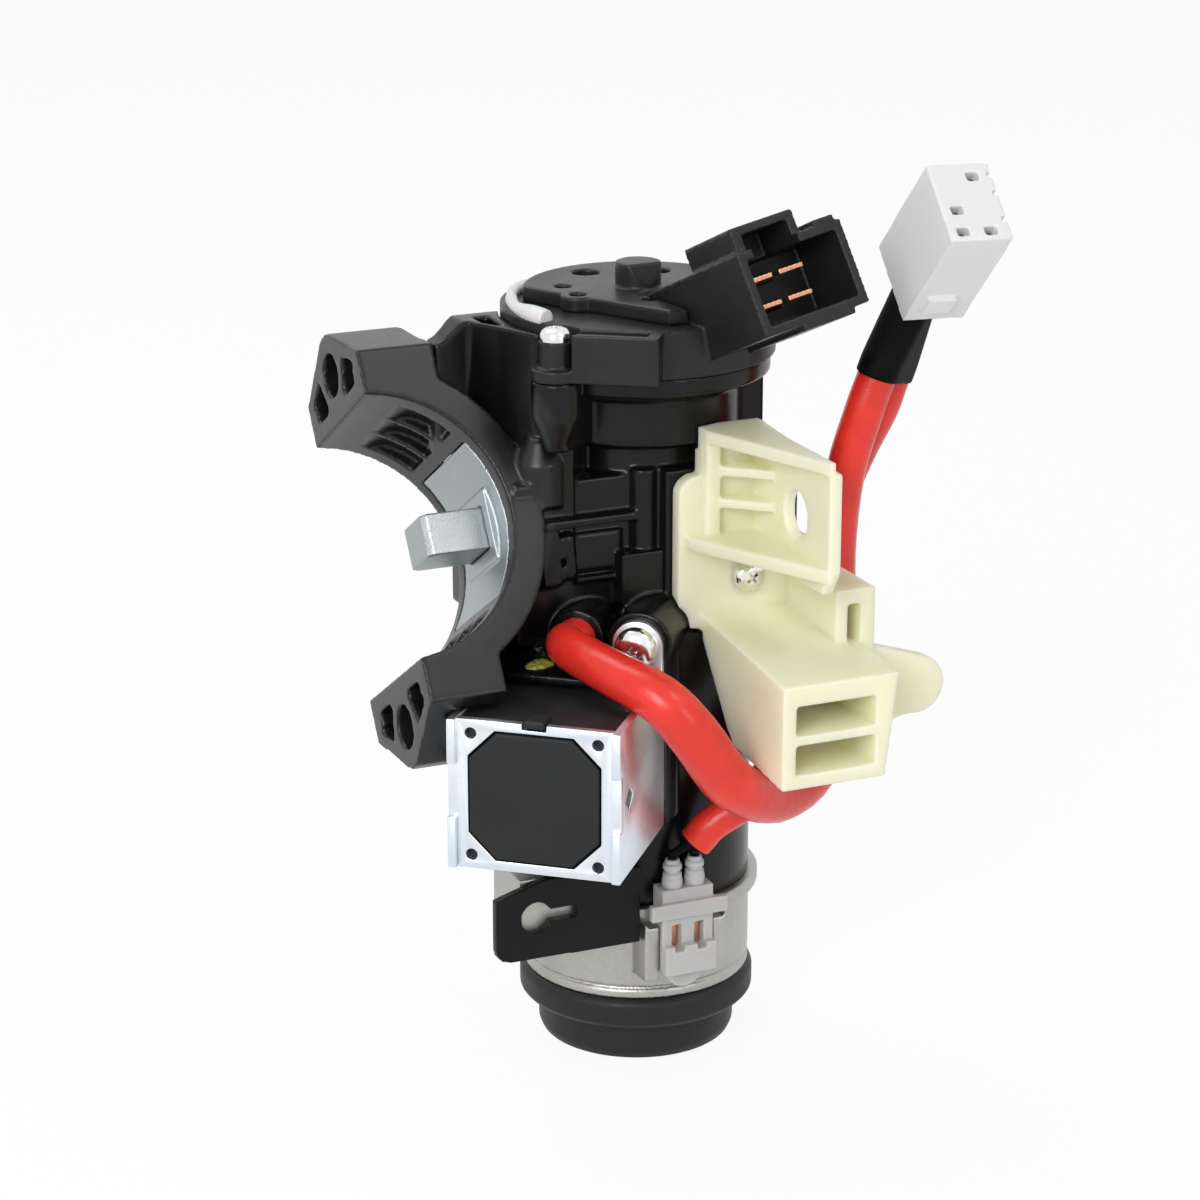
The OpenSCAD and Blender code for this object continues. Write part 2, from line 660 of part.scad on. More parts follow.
module lock_sleeve() {
  color(zinc) at_lock() difference() {
    union() {
      rotate_extrude() polygon([
        [0, nose_low], [nose_r, nose_low], [nose_r, cap_top], [sleeve_r, cap_top], [sleeve_r, cap_top + 1.6],
        [sleeve_r - 0.6, cap_top + 1.6], [sleeve_r - 0.6, cap_top + 2.3], [sleeve_r, cap_top + 2.3],
        [sleeve_r, barrel_z - lip_t - 1], [lip_d / 2, barrel_z - lip_t], [lip_d / 2, barrel_z],
        [sleeve_neck_r, barrel_z], [sleeve_neck_r, sleeve_top], [0, sleeve_top]
      ]);
      block(boss_box[0], boss_box[1]);
      for (s = [-1, 1]) translate([warn_x + s * (warn_w / 2 + rail_w / 2 + warn_gap), 0, 0])
        block([-rail_w / 2, rail_front, barrel_z - 12], [rail_w / 2, -12, barrel_z - lip_t + 0.6]);
    }
    translate([0, 0, nose_low - 1]) cylinder(r = plug_r + run_fit, h = cut);
    translate([0, 0, nose_low - 1]) cylinder(r = plug_head_r + run_fit, h = plug_step - nose_low + 1 + run_fit);
    translate([0, 0, -52]) rotate([-90, 0, 0]) cylinder(r = 2 + run_fit, h = cut);
    block([warn_x - warn_w / 2 - warn_gap, -cut, cap_top + 2.3],
      [warn_x + warn_w / 2 + warn_gap, warn_face, barrel_z + 1]);
    // Seat of the cross bar
    block([warn_x - warn_bar_w / 2 - warn_gap, -cut, barrel_z - lip_t],
      [warn_x + warn_bar_w / 2 + warn_gap, warn_face, barrel_z + 4]);
  }
}

module retaining_pin() {
  color(steel) at_lock() translate([0, plug_r + 1.2, -52]) rotate([-90, 0, 0])
    cylinder(r = 2, h = barrel_r - plug_r - 1.4);
}

module wafer_slots(grow) {
  for (i = [0:wafer_count - 1]) translate([0, 0, wafer_low + i * wafer_pitch - grow])
    translate([-wafer_size[0] / 2 - grow, -wafer_size[1] / 2 - grow, 0])
      cube([wafer_size[0] + 2 * grow, wafer_size[1] + 2 * grow, wafer_t + 2 * grow]);
}

module lock_plug() {
  color("#9a9da0") at_lock() difference() {
    union() {
      translate([0, 0, plug_low]) cylinder(r = plug_head_r, h = plug_step - plug_low);
      translate([0, 0, plug_low]) cylinder(r = plug_r, h = plug_top - plug_low);
      block([-tang[0] / 2, -tang[1] / 2, plug_top - 1], [tang[0] / 2, tang[1] / 2, tang_top]);
    }
    block([-keyway[0] / 2, -keyway[1] / 2, plug_low - 1], [keyway[0] / 2, keyway[1] / 2, plug_top - 6]);
    block([-shutter_room[0] / 2, -shutter_room[1] / 2, plug_low + 1], [shutter_room[0] / 2, shutter_room[1] / 2,
      plug_low + shutter_room[2]]);
    translate([-plug_r, shutter_pin_y, plug_low + 2.4]) rotate([0, 90, 0])
      cylinder(r = shutter_pin_r + run_fit, h = 2 * plug_r, $fn = 32);
    wafer_slots(run_fit);
  }
}

module wafer(i) {
  color("#c7a24d") at_lock() translate([0, 0, wafer_low + i * wafer_pitch]) difference() {
    translate([-wafer_size[0] / 2, -wafer_size[1] / 2, 0]) cube([wafer_size[0], wafer_size[1], wafer_t]);
    translate([-keyway[0] / 2, -keyway[1] / 2 + 0.6 * (i % 3), -1])
      cube([keyway[0], keyway[1] - 1.2, wafer_t + 2]);
  }
}

module wafer_1() { wafer(0); }

module wafer_2() { wafer(1); }

module wafer_3() { wafer(2); }

module wafer_4() { wafer(3); }

module wafer_5() { wafer(4); }

module wafer_6() { wafer(5); }

module key_shutter() {
  half = shutter_room[0] / 2 - 0.3;
  color(steel) at_lock() translate([0, shutter_pin_y, plug_low + 2.4]) difference() {
    union() {
      rotate([0, 90, 0]) translate([0, 0, -half]) cylinder(r = 1.2, h = 2 * half, $fn = 32);
      block([-half, -shutter_pin_y - 4.6, -shutter_t], [half, 0, 0]);
    }
    rotate([0, 90, 0]) translate([0, 0, -cut / 2]) cylinder(r = shutter_pin_r + run_fit, h = cut, $fn = 32);
  }
}

module shutter_pin() {
  color(steel) at_lock() translate([-plug_r + 1.6, shutter_pin_y, plug_low + 2.4]) rotate([0, 90, 0])
    cylinder(r = shutter_pin_r, h = 2 * plug_r - 3.2, $fn = 32);
}

module face_cap() {
  color(black_matte) at_lock() rotate_extrude() polygon([
    [nose_r - 1.5, cap_low], [skirt_d / 2 - 2, cap_low], [skirt_d / 2 - 0.6, cap_low + 0.6], [skirt_d / 2, cap_low + 2],
    [skirt_d / 2, cap_top - 6.2], [cap_d / 2 - 1, cap_top - 5.6], [cap_d / 2, cap_top - 4.6], [cap_d / 2, cap_top - 1],
    [cap_d / 2 - 1, cap_top], [nose_r + run_fit, cap_top], [nose_r + run_fit, nose_low], [nose_r - 1.5, nose_low]
  ]);
}

module key_plate() {
  front = boss_box[0][1];
  color(black_matte) at_lock() difference() {
    translate([0, front, 0]) rotate([90, 0, 0]) linear_extrude(plate_t) polygon([
      [-35, -56.3], [-26, -53.6], [plate_end, -54.2], [plate_end, -67.8], [-28, -67.5], [-32.6, -67.4],
      [-33.9, -67], [-34.7, -66.2], [-35, -65]
    ]);
    translate([-27.8, 0, -60.2]) tube_y(2.7, 0, cut);
    block([-27, -cut, -61.2], [-20.6, 0, -59]);
  }
}

// Key-warning switch

module warning_body() {
  color(white) at_lock() translate([warn_x, warn_face, 0]) difference() {
    union() {
      block([-warn_w / 2, -warn_t, barrel_z - 10.6], [warn_w / 2, 0, barrel_z + 4.4]);
      block([-warn_bar_w / 2, -warn_t - 1, barrel_z - 0.6], [warn_bar_w / 2, rail_front - warn_face - warn_gap, barrel_z + 2.2]);
      block([-warn_w / 2, -warn_t - 1.6, barrel_z - 10.6], [warn_w / 2, 0, barrel_z - 5.4]);
      translate([0, 0, barrel_z - 10.6]) tube_y(3.4, 0, 3);
    }
    for (s = [-1, 1]) {
      block([s * warn_pitch / 2 - 0.9, -warn_t - 5, barrel_z - 6.4], [s * warn_pitch / 2 + 0.9, -1, barrel_z - 2]);
      translate([s * warn_pitch / 2, -warn_t / 2, barrel_z + 1]) cylinder(d = seal_d + 2 * run_fit, h = cut);
    }
    block([-cut, -cut, cap_top - 10], [cut, cut, cap_top + 2.4]);
  }
}

module warning_leaf(side) {
  color(copper) at_lock() translate([warn_x + side * warn_pitch / 2, warn_face, 0])
    block([-0.8, -2.4, barrel_z - 6.4], [0.8, -1, barrel_z - 2]);
}

module warning_leaf_left() { warning_leaf(-1); }

module warning_leaf_right() { warning_leaf(1); }

module warning_seal(side) {
  color("#e3e4e4") at_lock() translate([warn_x + side * warn_pitch / 2, warn_face - warn_t / 2, barrel_z + 1]) {
    cylinder(d = seal_d, h = 4.8);
    for (z = [4.8, 6.4]) translate([0, 0, z]) cylinder(d = seal_d - 0.3, h = 1);
    translate([0, 0, 4.8]) cylinder(d = seal_d - 1, h = 3.4);
  }
}

module warning_seal_left() { warning_seal(-1); }

module warning_seal_right() { warning_seal(1); }

module warning_wire(side) {
  d = unit(conduit_b_route[0] - conduit_b_end);
  q = unit([1, 0, 0] - d * d[0]) * (wire_d / 2 + 0.2) * side;
  seal = [warn_x + side * warn_pitch / 2, warn_face - warn_t / 2, barrel_z + 9.2];
  color("#1b1b1d") at_lock() tube([conduit_b_end + q, conduit_b_end + q - d, seal + [0, 0, 0.8], seal], wire_d / 2, 8);
}

module warning_wire_left() { warning_wire(-1); }

module warning_wire_right() { warning_wire(1); }

// Interlock solenoid

module solenoid_yoke() {
  color(steel) at_solenoid() difference() {
    union() {
      block([-sol_w / 2, -sol_pad - sheet_t, -sol_h / 2], [sol_w / 2, -sol_pad, sol_h / 2]);
      block([sol_screw_x - tab_w / 2, -sol_pad - sheet_t, 0], [sol_screw_x + tab_w / 2, -sol_pad, sol_screw_z]);
      translate([sol_screw_x, 0, sol_screw_z]) tube_y(tab_w / 2, sol_pad, sol_pad + sheet_t);
      for (s = [-1, 1]) block([s > 0 ? sol_w / 2 - sheet_t : -sol_w / 2, -sol_front - 0.8, -sol_h / 2],
        [s > 0 ? sol_w / 2 : -sol_w / 2 + sheet_t, -sol_pad, sol_h / 2]);
    }
    tube_y(plunger_r + guide_gap, 0, sol_front - 6);
    translate([sol_screw_x, 0, sol_screw_z]) tube_y(2.2, 0, cut);
    // Gap between the crimp tabs, for the front plate's lugs
    block([-cut, -cut, -sol_h * 0.16], [cut, -sol_front + sheet_t, sol_h * 0.2]);
    // Diamond window in the side plates
    translate([0, -sol_front + 5, 0]) rotate([45, 0, 0]) cube([cut, 3, 3], center = true);
  }
}

module octagon_outline(w, c) {
  h = w / 2;
  polygon([[-h, -h + c], [-h + c, -h], [h - c, -h], [h, -h + c], [h, h - c], [h - c, h], [-h + c, h], [-h, h - c]]);
}

module solenoid_front() {
  color(steel) at_solenoid() difference() {
    union() {
      block([-sol_in_w / 2, -sol_front, -sol_h / 2], [sol_in_w / 2, -sol_front + sheet_t, sol_h / 2]);
      block([-sol_w / 2, -sol_front, -sol_h * 0.16], [sol_w / 2, -sol_front + sheet_t, sol_h * 0.2]);
    }
    translate([0, cut - sol_front, 0]) rotate([90, 0, 0]) linear_extrude(2 * cut) octagon_outline(octagon, octagon_cut);
    for (x = [-1, 1], z = [-1, 1])
      translate([x * (sol_in_w / 2 - 2.4), 0, z * (sol_h / 2 - 2.3)]) tube_y(0.95, 0, cut);
    translate([0, -sol_front, sol_h / 2]) cube([4, cut, 2], center = true);
  }
}

module solenoid_bobbin() {
  back = sol_pad + sheet_t;
  color("#1c1d1f") at_solenoid() difference() {
    union() {
      translate([0, -sol_front + sheet_t, 0]) rotate([90, 0, 0])
        linear_extrude(sheet_t + 0.3) octagon_outline(octagon - 2 * guide_gap, octagon_cut);
      block([-sol_in_w / 2, -sol_front + sheet_t, -sol_h / 2 + 0.4], [sol_in_w / 2, -sol_front + sheet_t + bobbin_flange,
        sol_h / 2 - 0.4]);
      block([-sol_in_w / 2, -back - bobbin_flange, -sol_h / 2 + 0.4], [sol_in_w / 2, -back, sol_h / 2 - 0.4]);
      tube_y(bobbin_tube, back, sol_front - sheet_t);
      // Side covers over the winding, closing the yoke's open top and bottom
      for (s = [-1, 1]) block([-sol_in_w / 2, -sol_front + sheet_t, s > 0 ? sol_h / 2 - 1.6 : -sol_h / 2 + 0.4],
        [sol_in_w / 2, -back, s > 0 ? sol_h / 2 - 0.4 : -sol_h / 2 + 1.6]);
      // Tab in the notch of the front plate
      block([-2 + guide_gap, -sol_front - 0.2, sol_h / 2 - 0.6], [2 - guide_gap, -sol_front + 4, sol_h / 2 + 0.6]);
    }
    tube_y(bobbin_bore, 0, sol_front - sheet_t - 1.2);
  }
}

module solenoid_coil() {
  color(copper) at_solenoid() difference() {
    tube_y(coil_r - 0.2, sol_pad + sheet_t + bobbin_flange, sol_front - sheet_t - bobbin_flange);
    tube_y(bobbin_tube + run_fit, 0, cut);
  }
}

module solenoid_core() {
  color(steel) at_solenoid() tube_y(plunger_r, core_start, sol_front - sheet_t - 1.2);
}

module solenoid_plunger() {
  color(steel) at_solenoid() difference() {
    union() {
      tube_y(plunger_r, tip_root, plunger_end);
      tube_y(tip_r, tip_end, tip_root + eps);
    }
    tube_y(plunger_spring_r + plunger_spring_wire / 2 + 0.2, plunger_end - plunger_well, cut);
  }
}

module plunger_spring() {
  color(steel) at_solenoid() translate([0, -plunger_end + plunger_well, 0]) rotate([90, 0, 0])
    spring(plunger_spring_r, plunger_spring_wire, core_start - plunger_end + plunger_well, 7);
}

module solenoid_screw() {
  color(steel) at_solenoid() translate([sol_screw_x, -sol_pad - sheet_t, sol_screw_z]) rotate([90, 0, 0])
    pan_screw(7.2, 3, 2, 8);
}

// Bracket

module bracket_side(x, t, outline) {
  translate([x, 0, 0]) rotate([90, 0, 90]) linear_extrude(t) polygon(outline);
}

module gusset(z, left) {
  translate([0, 0, z]) linear_extrude(bracket_t - 0.4)
    polygon([[left, flange_y + 1], [left, flange_y - 1.4], [eye_x, -pad_y - eye_reach], [eye_x + 1, -pad_y - eye_reach],
      [eye_x + 1, flange_y + 1]]);
}

module bracket() {
  color(cream) at_lock() difference() {
    union() {
      // Flange on the housing pad
      translate([0, -pad_y, 0]) rotate([90, 0, 0]) linear_extrude(3) polygon([
        [-1.2, -11.6], [-0.6, -13.4], [0.8, -14.5], [2.4, -14.8], [mid_x[1], -14.8], [mid_x[1], mid_z[1]],
        [eye_x + eye_t, 4], [eye_x + eye_t, eye_top], [2.8, eye_top], [2.8, 11.5], [1.2, 11.4], [-0.3, 10.5],
        [-1.1, 9.2], [-1.2, 8]
      ]);
      // Eye plate and its gussets
      bracket_side(eye_x, eye_t, [[flange_y + 1, -3], [-pad_y - eye_reach + 2.5, -3], [-pad_y - eye_reach, 1],
        [-pad_y - eye_reach, eye_top - 2], [flange_y + 1, eye_top]]);
      gusset(eye_top - bracket_t + 0.4, 2.8);
      gusset(-0.6, 0);
      for (z = [6.2, 11.6]) translate([0, 0, z]) linear_extrude(1.6)
        polygon([[4.4, flange_y + 1], [4.4, flange_y - 1], [eye_x + 1, flange_y - 9], [eye_x + 1, flange_y + 1]]);
      bracket_side(3, bracket_t, [[flange_y + 1, 0], [flange_y - 1.6, 0], [flange_y - 1.6, eye_top], [flange_y + 1, eye_top]]);
      // Slotted box, sloping down and forwards from the flange
      translate([box_x[0], 0, 0]) rotate([90, 0, 90]) linear_extrude(box_x[1] - box_x[0]) polygon([
        [flange_y + 1, box_z[1]], [box_face, box_z[1] - 3.4], [box_face, box_z[0]], [-31.5, -31], [-29, -28.8],
        [flange_y + 1, -14.6]
      ]);
      // Post beside the box, and the round locating tab
      block([mid_x[0], mid_front, mid_z[0]], [mid_x[1], flange_y + 1, mid_z[1] - 2]);
      translate([0, mid_front + 4, 0]) rotate([90, 0, 0]) linear_extrude(bracket_t + 0.4) polygon([
        [box_x[1] - 1, mid_z[0] + 2], [mid_x[1] + 0.2, mid_z[0] + 1], [tab_at[0] + 1.6, tab_at[1] + tab_r - 0.3],
        [tab_at[0] + 3, tab_at[1] - 4], [box_x[1] + 4, -30], [box_x[1] - 1, -30]
      ]);
      translate([tab_at[0], 0, tab_at[1]]) tube_y(tab_r, -mid_front - 4, -mid_front - 3.6 + bracket_t);
    }
    translate([0, eye_at[0], eye_at[1]]) rotate([0, 90, 0]) cylinder(d = eye_d, h = cut);
    translate([bracket_screw_at[0], 0, bracket_screw_at[1]]) tube_y(1.6, 0, -flange_y + 2);
    // Clears both barrels and the solenoid's screw boss
    translate([0, 0, shoulder_z + guide_gap - cut]) cylinder(r = barrel_r + guide_gap, h = cut);
    translate([0, 0, upper_z - 1]) cylinder(r = upper_r + guide_gap, h = cut);
    rotate([0, 0, -sol_angle]) translate([sol_screw_x - sol_shift, 0, sol_z + sol_screw_z])
      tube_y(screw_boss_r + guide_gap, 4, sol_pad + guide_gap);
    // Two clip slots in the box
    for (z = [-30.6, -24]) block([box_x[0] + bracket_t - 0.2, -cut, z], [box_x[1] - bracket_t - 1.4, box_face + 20, z + 5]);
    // Draft on the box's right side
    translate([box_x[1], 0, box_z[1] - 3]) rotate([0, 7, 0]) block([0, -cut, -cut], [20, mid_front - 0.2, 0]);
    // Window and core-out in the post
    block([mid_x[0] + bracket_t - 0.4, -cut, mid_z[0] + 2.4], [mid_x[1] - bracket_t, flange_y - 2, mid_z[1] - 4.6]);
  }
}

module bracket_screw() {
  color(steel) at_lock() translate([bracket_screw_at[0], flange_y, bracket_screw_at[1]]) rotate([90, 0, 0])
    pan_screw(bracket_head_d, 2.2, 1.25, 7);
}

// Electrical switch

module shroud_outer() {
  at_shroud() {
    block([-shroud_w / 2, -shroud_len, -shroud_h / 2], [shroud_w / 2, 6, shroud_h / 2]);
    // Latch bridge over the mouth's left half
    block([-shroud_w / 2 + 1.2, -shroud_len + 1.6, shroud_h / 2 - eps], [3.2, -shroud_len + 17, shroud_h / 2 + 4]);
    // Coding ribs
    block([shroud_w / 2 - 5, -shroud_len, shroud_h / 2 - eps], [shroud_w / 2 - 1, -8, shroud_h / 2 + 1]);
    block([-3, -shroud_len, -shroud_h / 2 - 1], [shroud_w / 2 - 3, -8, -shroud_h / 2 + eps]);
  }
}

module blade_box(i, grow) {
  x = -shroud_w / 2 + shroud_wall + 0.6 + (i % 2) * (blade_w + 1.3);
  z = (i < 2 ? 1 : -1) * shroud_h * 0.16;
  at_shroud() block([x, -shroud_len + 3, z - blade_t / 2], [x + blade_w, -shroud_len + mouth_depth + 7 + grow, z + blade_t / 2]);
}

module switch_base() {
  color(black_gloss) difference() {
    union() {
      at_lock() translate([0, 0, seat_z]) cylinder(r = switch_r, h = base_h);
      facing(-34) block([-7.6, -switch_r - 3.4, seat_z], [7.6, -switch_r + 3, base_top]);
      for (az = screw_az) facing(az) {
        translate([0, -screw_at, seat_z]) cylinder(r = lug_r, h = lug_t);
        block([-lug_r, -screw_at, seat_z], [lug_r, -switch_r + 2, seat_z + lug_t]);
        translate([0, -screw_at, seat_z]) cylinder(r = boss_r, h = boss_top - seat_z);
      }
      shroud_outer();
    }
    at_lock() translate([0, 0, seat_z - 1]) cylinder(r = rotor_room_r, h = base_h - 0.8);
    for (az = screw_az) facing(az) translate([0, -screw_at, 0]) cylinder(r = screw_r + 0.2, h = cut);
    // Clears the screw heads
    for (az = screw_az) facing(az) translate([0, -screw_at, seat_z + lug_t]) difference() {
      cylinder(r = lug_r, h = cut);
      translate([0, 0, -1]) cylinder(r = boss_r, h = boss_top - seat_z - lug_t + 1);
    }
    facing(-34) block([-5.6, -switch_r - 2, base_top - 5], [5.6, -switch_r + 1, cut]);
    at_shroud() {
      block([-shroud_w / 2 + shroud_wall, -shroud_len - cut, -shroud_h / 2 + shroud_wall],
        [shroud_w / 2 - shroud_wall, -shroud_len + mouth_depth, shroud_h / 2 - shroud_wall]);
      // Latch channel, open to the mouth
      block([-shroud_w / 2 + 3, -shroud_len - cut, shroud_h / 2 - shroud_wall - eps], [1.6, -shroud_len + 11, shroud_h / 2 + 2.6]);
    }
    for (i = [0:3]) blade_box(i, 0);
    at_lock() block([-cut, -cut, -cut], [cut, cut, seat_z]);
  }
}

module switch_cover() {
  color(black_gloss) difference() {
    at_lock() {
      intersection() {
        translate([0, 0, base_top]) cylinder(r = cover_r, h = cover_t);
        rotate([0, 0, -60]) block([-cut, -cover_flat, base_top], [cut, cut, cut]);
      }
      for (p = [[-11.6, 4.4], [-11.7, -2]]) translate([p[0], p[1], base_top]) cylinder(r = 2.9, h = cover_t);
      translate([0, 0, base_top]) cylinder(d = hub_d, h = cover_t + hub_h);
    }
    at_lock() translate([0, 0, base_top]) {
      for (p = [[-3.9, 12.5], [7.5, 9]]) translate([p[0], p[1], 1]) cylinder(r = 2.3, h = cut);
      for (p = [[-11.6, 4.4], [-11.7, -2], [-2.4, -9.6]]) translate([p[0], p[1], 0.8]) cylinder(r = 1.4, h = cut);
    }
    at_shroud() block([-shroud_w / 2 - guide_gap, -cut, -cut], [shroud_w / 2 + guide_gap, 6 + guide_gap, cut]);
  }
}

module switch_rotor() {
  color("#d9d2bf") at_lock() difference() {
    translate([0, 0, rotor_low]) cylinder(r = rotor_r, h = rotor_top - rotor_low);
    block([-shaft_tang[0] / 2 - run_fit, -shaft_tang[1] / 2 - run_fit, rotor_low - 1],
      [shaft_tang[0] / 2 + run_fit, shaft_tang[1] / 2 + run_fit, shaft_tang_top + 0.2]);
  }
}

module bridge_contact() {
  color(copper) at_lock() translate([0, 0, rotor_top]) sector(5, 10.5, 0.8, 60);
}

module blade(i) { color(copper) blade_box(i, 0); }

module blade_1() { blade(0); }

module blade_2() { blade(1); }

module blade_3() { blade(2); }

module blade_4() { blade(3); }

module switch_screw(az) {
  color(steel) facing(az) translate([0, -screw_at, boss_top]) pan_screw(5.2, 2.2, screw_r, boss_top - seat_z + 9);
}

module switch_screw_front() { switch_screw(screw_az[0]); }

module switch_screw_rear() { switch_screw(screw_az[1]); }

// Harness

function boot_foot(side, d) = boot_at + boot_side * side * (d / 2 + 0.1);

function into_boot(foot) = [foot - 6 * boot_dir, foot - boot_dir];

module conduit_a() {
  foot = boot_foot(-1, conduit_a_d);
  start = [port_face + 1.5 * port_out, port_face + 5 * port_out];
  color(red) at_lock() tube(concat([port_face], smooth(concat(start, conduit_a_route, into_boot(foot)), 2), [foot]),
    conduit_a_d / 2, 10, 0.25, 0.36);
}

module conduit_b() {
  foot = boot_foot(1, conduit_b_d);
  start = conduit_b_end + unit(conduit_b_route[0] - conduit_b_end);
  color(red) at_lock() tube(concat([conduit_b_end], smooth(concat([start], conduit_b_route, into_boot(foot)), 2), [foot]),
    conduit_b_d / 2, 10);
}

module aimed(p, d) { translate(p) rotate([0, acos(d[2]), atan2(d[1], d[0])]) children(); }

module shrink_boot() {
  color("#1b1b1d") at_lock() hull() {
    aimed(boot_foot(-1, conduit_a_d), boot_dir) cylinder(d = conduit_a_d + 0.8, h = 3, $fn = 32);
    aimed(boot_foot(1, conduit_b_d), boot_dir) cylinder(d = conduit_b_d + 0.8, h = 3, $fn = 32);
    translate(plug_at) rotate(plug_turn) translate([0, 0, -1]) cylinder(d = 7.6, h = 1, $fn = 32);
  }
}

module terminal_place(i) {
  uv = terminal_uv[i];
  translate([(uv[0] - 0.5) * plug_w, (0.5 - uv[1]) * plug_h, 0]) children();
}

module plug_body() {
  color(white) at_plug() difference() {
    union() {
      block([-plug_w / 2, -plug_h / 2, 0], [plug_w / 2, plug_h / 2, plug_len]);
      block([-plug_w / 2 + 2, -plug_h / 2 - 1, 3], [plug_w / 2 - 4, -plug_h / 2 + 1, 7]);
    }
    for (i = [0:3]) terminal_place(i) block([-1.1, -0.8, 4], [1.1, 0.8, cut]);
    for (v = [0.12, 0.36, 0.7]) block([plug_w / 2 - 0.8, (0.5 - v) * plug_h - 1.1, plug_len - 4],
      [plug_w, (0.5 - v) * plug_h, cut]);
  }
}

module plug_terminal(i) {
  color("#caa56a") at_plug() terminal_place(i) difference() {
    block([-1.1, -0.8, 4], [1.1, 0.8, plug_len - 2]);
    block([-0.7, -0.4, 8], [0.7, 0.4, cut]);
  }
}

module plug_terminal_1() { plug_terminal(0); }

module plug_terminal_2() { plug_terminal(1); }

module plug_terminal_3() { plug_terminal(2); }

module plug_terminal_4() { plug_terminal(3); }

lock_housing();
guide_plate();
lock_bolt();
bolt_spring_front();
bolt_spring_rear();
chamber_cover();
cam_shaft();
lock_sleeve();
retaining_pin();
lock_plug();
wafer_1();
wafer_2();
wafer_3();
wafer_4();
wafer_5();
wafer_6();
key_shutter();
shutter_pin();
face_cap();
key_plate();
warning_body();
warning_leaf_left();
warning_leaf_right();
warning_seal_left();
warning_seal_right();
warning_wire_left();
warning_wire_right();
solenoid_yoke();
solenoid_front();
solenoid_bobbin();
solenoid_coil();
solenoid_core();
solenoid_plunger();
plunger_spring();
solenoid_screw();
bracket();
bracket_screw();
switch_base();
switch_cover();
switch_rotor();
bridge_contact();
blade_1();
blade_2();
blade_3();
blade_4();
switch_screw_front();
switch_screw_rear();
conduit_a();
conduit_b();
shrink_boot();
plug_body();
plug_terminal_1();
plug_terminal_2();
plug_terminal_3();
plug_terminal_4();
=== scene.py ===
"""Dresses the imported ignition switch: softened castings and mouldings, screws, sleeves, studio."""
import json
import logging
import math
from contextlib import contextmanager
from dataclasses import dataclass, field
from enum import Enum
from functools import cached_property
from typing import ClassVar, Iterator, Optional, Sequence

import bpy
from mathutils import Matrix, Vector

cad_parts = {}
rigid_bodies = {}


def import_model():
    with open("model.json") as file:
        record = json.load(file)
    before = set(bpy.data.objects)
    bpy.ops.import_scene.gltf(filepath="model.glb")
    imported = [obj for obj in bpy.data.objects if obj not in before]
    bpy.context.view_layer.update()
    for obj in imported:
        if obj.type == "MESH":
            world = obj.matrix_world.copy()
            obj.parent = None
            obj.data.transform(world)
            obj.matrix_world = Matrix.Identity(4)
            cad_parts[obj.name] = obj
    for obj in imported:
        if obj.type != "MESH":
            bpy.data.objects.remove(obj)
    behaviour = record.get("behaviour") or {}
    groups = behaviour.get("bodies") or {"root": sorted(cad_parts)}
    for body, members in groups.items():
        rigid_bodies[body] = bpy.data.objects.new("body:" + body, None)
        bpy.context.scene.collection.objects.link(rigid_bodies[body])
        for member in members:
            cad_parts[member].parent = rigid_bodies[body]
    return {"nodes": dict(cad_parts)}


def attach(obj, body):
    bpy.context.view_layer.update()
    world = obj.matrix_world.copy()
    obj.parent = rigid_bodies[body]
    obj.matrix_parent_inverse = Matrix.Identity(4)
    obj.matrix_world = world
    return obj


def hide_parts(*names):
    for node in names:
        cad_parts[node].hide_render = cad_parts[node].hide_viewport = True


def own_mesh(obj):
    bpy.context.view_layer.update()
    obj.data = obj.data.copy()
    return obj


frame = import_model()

LOG = logging.getLogger("ignition_switch")
MM = 0.001
LOCK_X = 48.3
SOLENOID_ANGLE = 40.0
UP = (0, 0, 1)
Point = tuple[float, float, float]
Colour = tuple[float, float, float]


class Body(Enum):
    """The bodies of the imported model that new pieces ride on."""

    HOUSING = "housing"
    ROTOR = "rotor"
    BOLT = "bolt"


class Pattern(Enum):
    """How a finish varies over its surface."""

    EVEN = "even"
    CAST = "cast"
    PLATED = "plated"
    GRAINED = "grained"


def lock_point(x: float, y: float, z: float) -> Vector:
    """Returns a point given in millimetres from the lock axis, in metres."""
    return Vector((x + LOCK_X, y, z)) * MM


def solenoid_axes() -> tuple[Point, Point]:
    """Returns the directions out of the solenoid's pad and along it."""
    a = math.radians(SOLENOID_ANGLE)
    return (-math.sin(a), -math.cos(a), 0), (math.cos(a), -math.sin(a), 0)


def tinted(colour: Colour, share: float) -> Colour:
    """Returns the colour scaled by a share."""
    return tuple(c * share for c in colour)


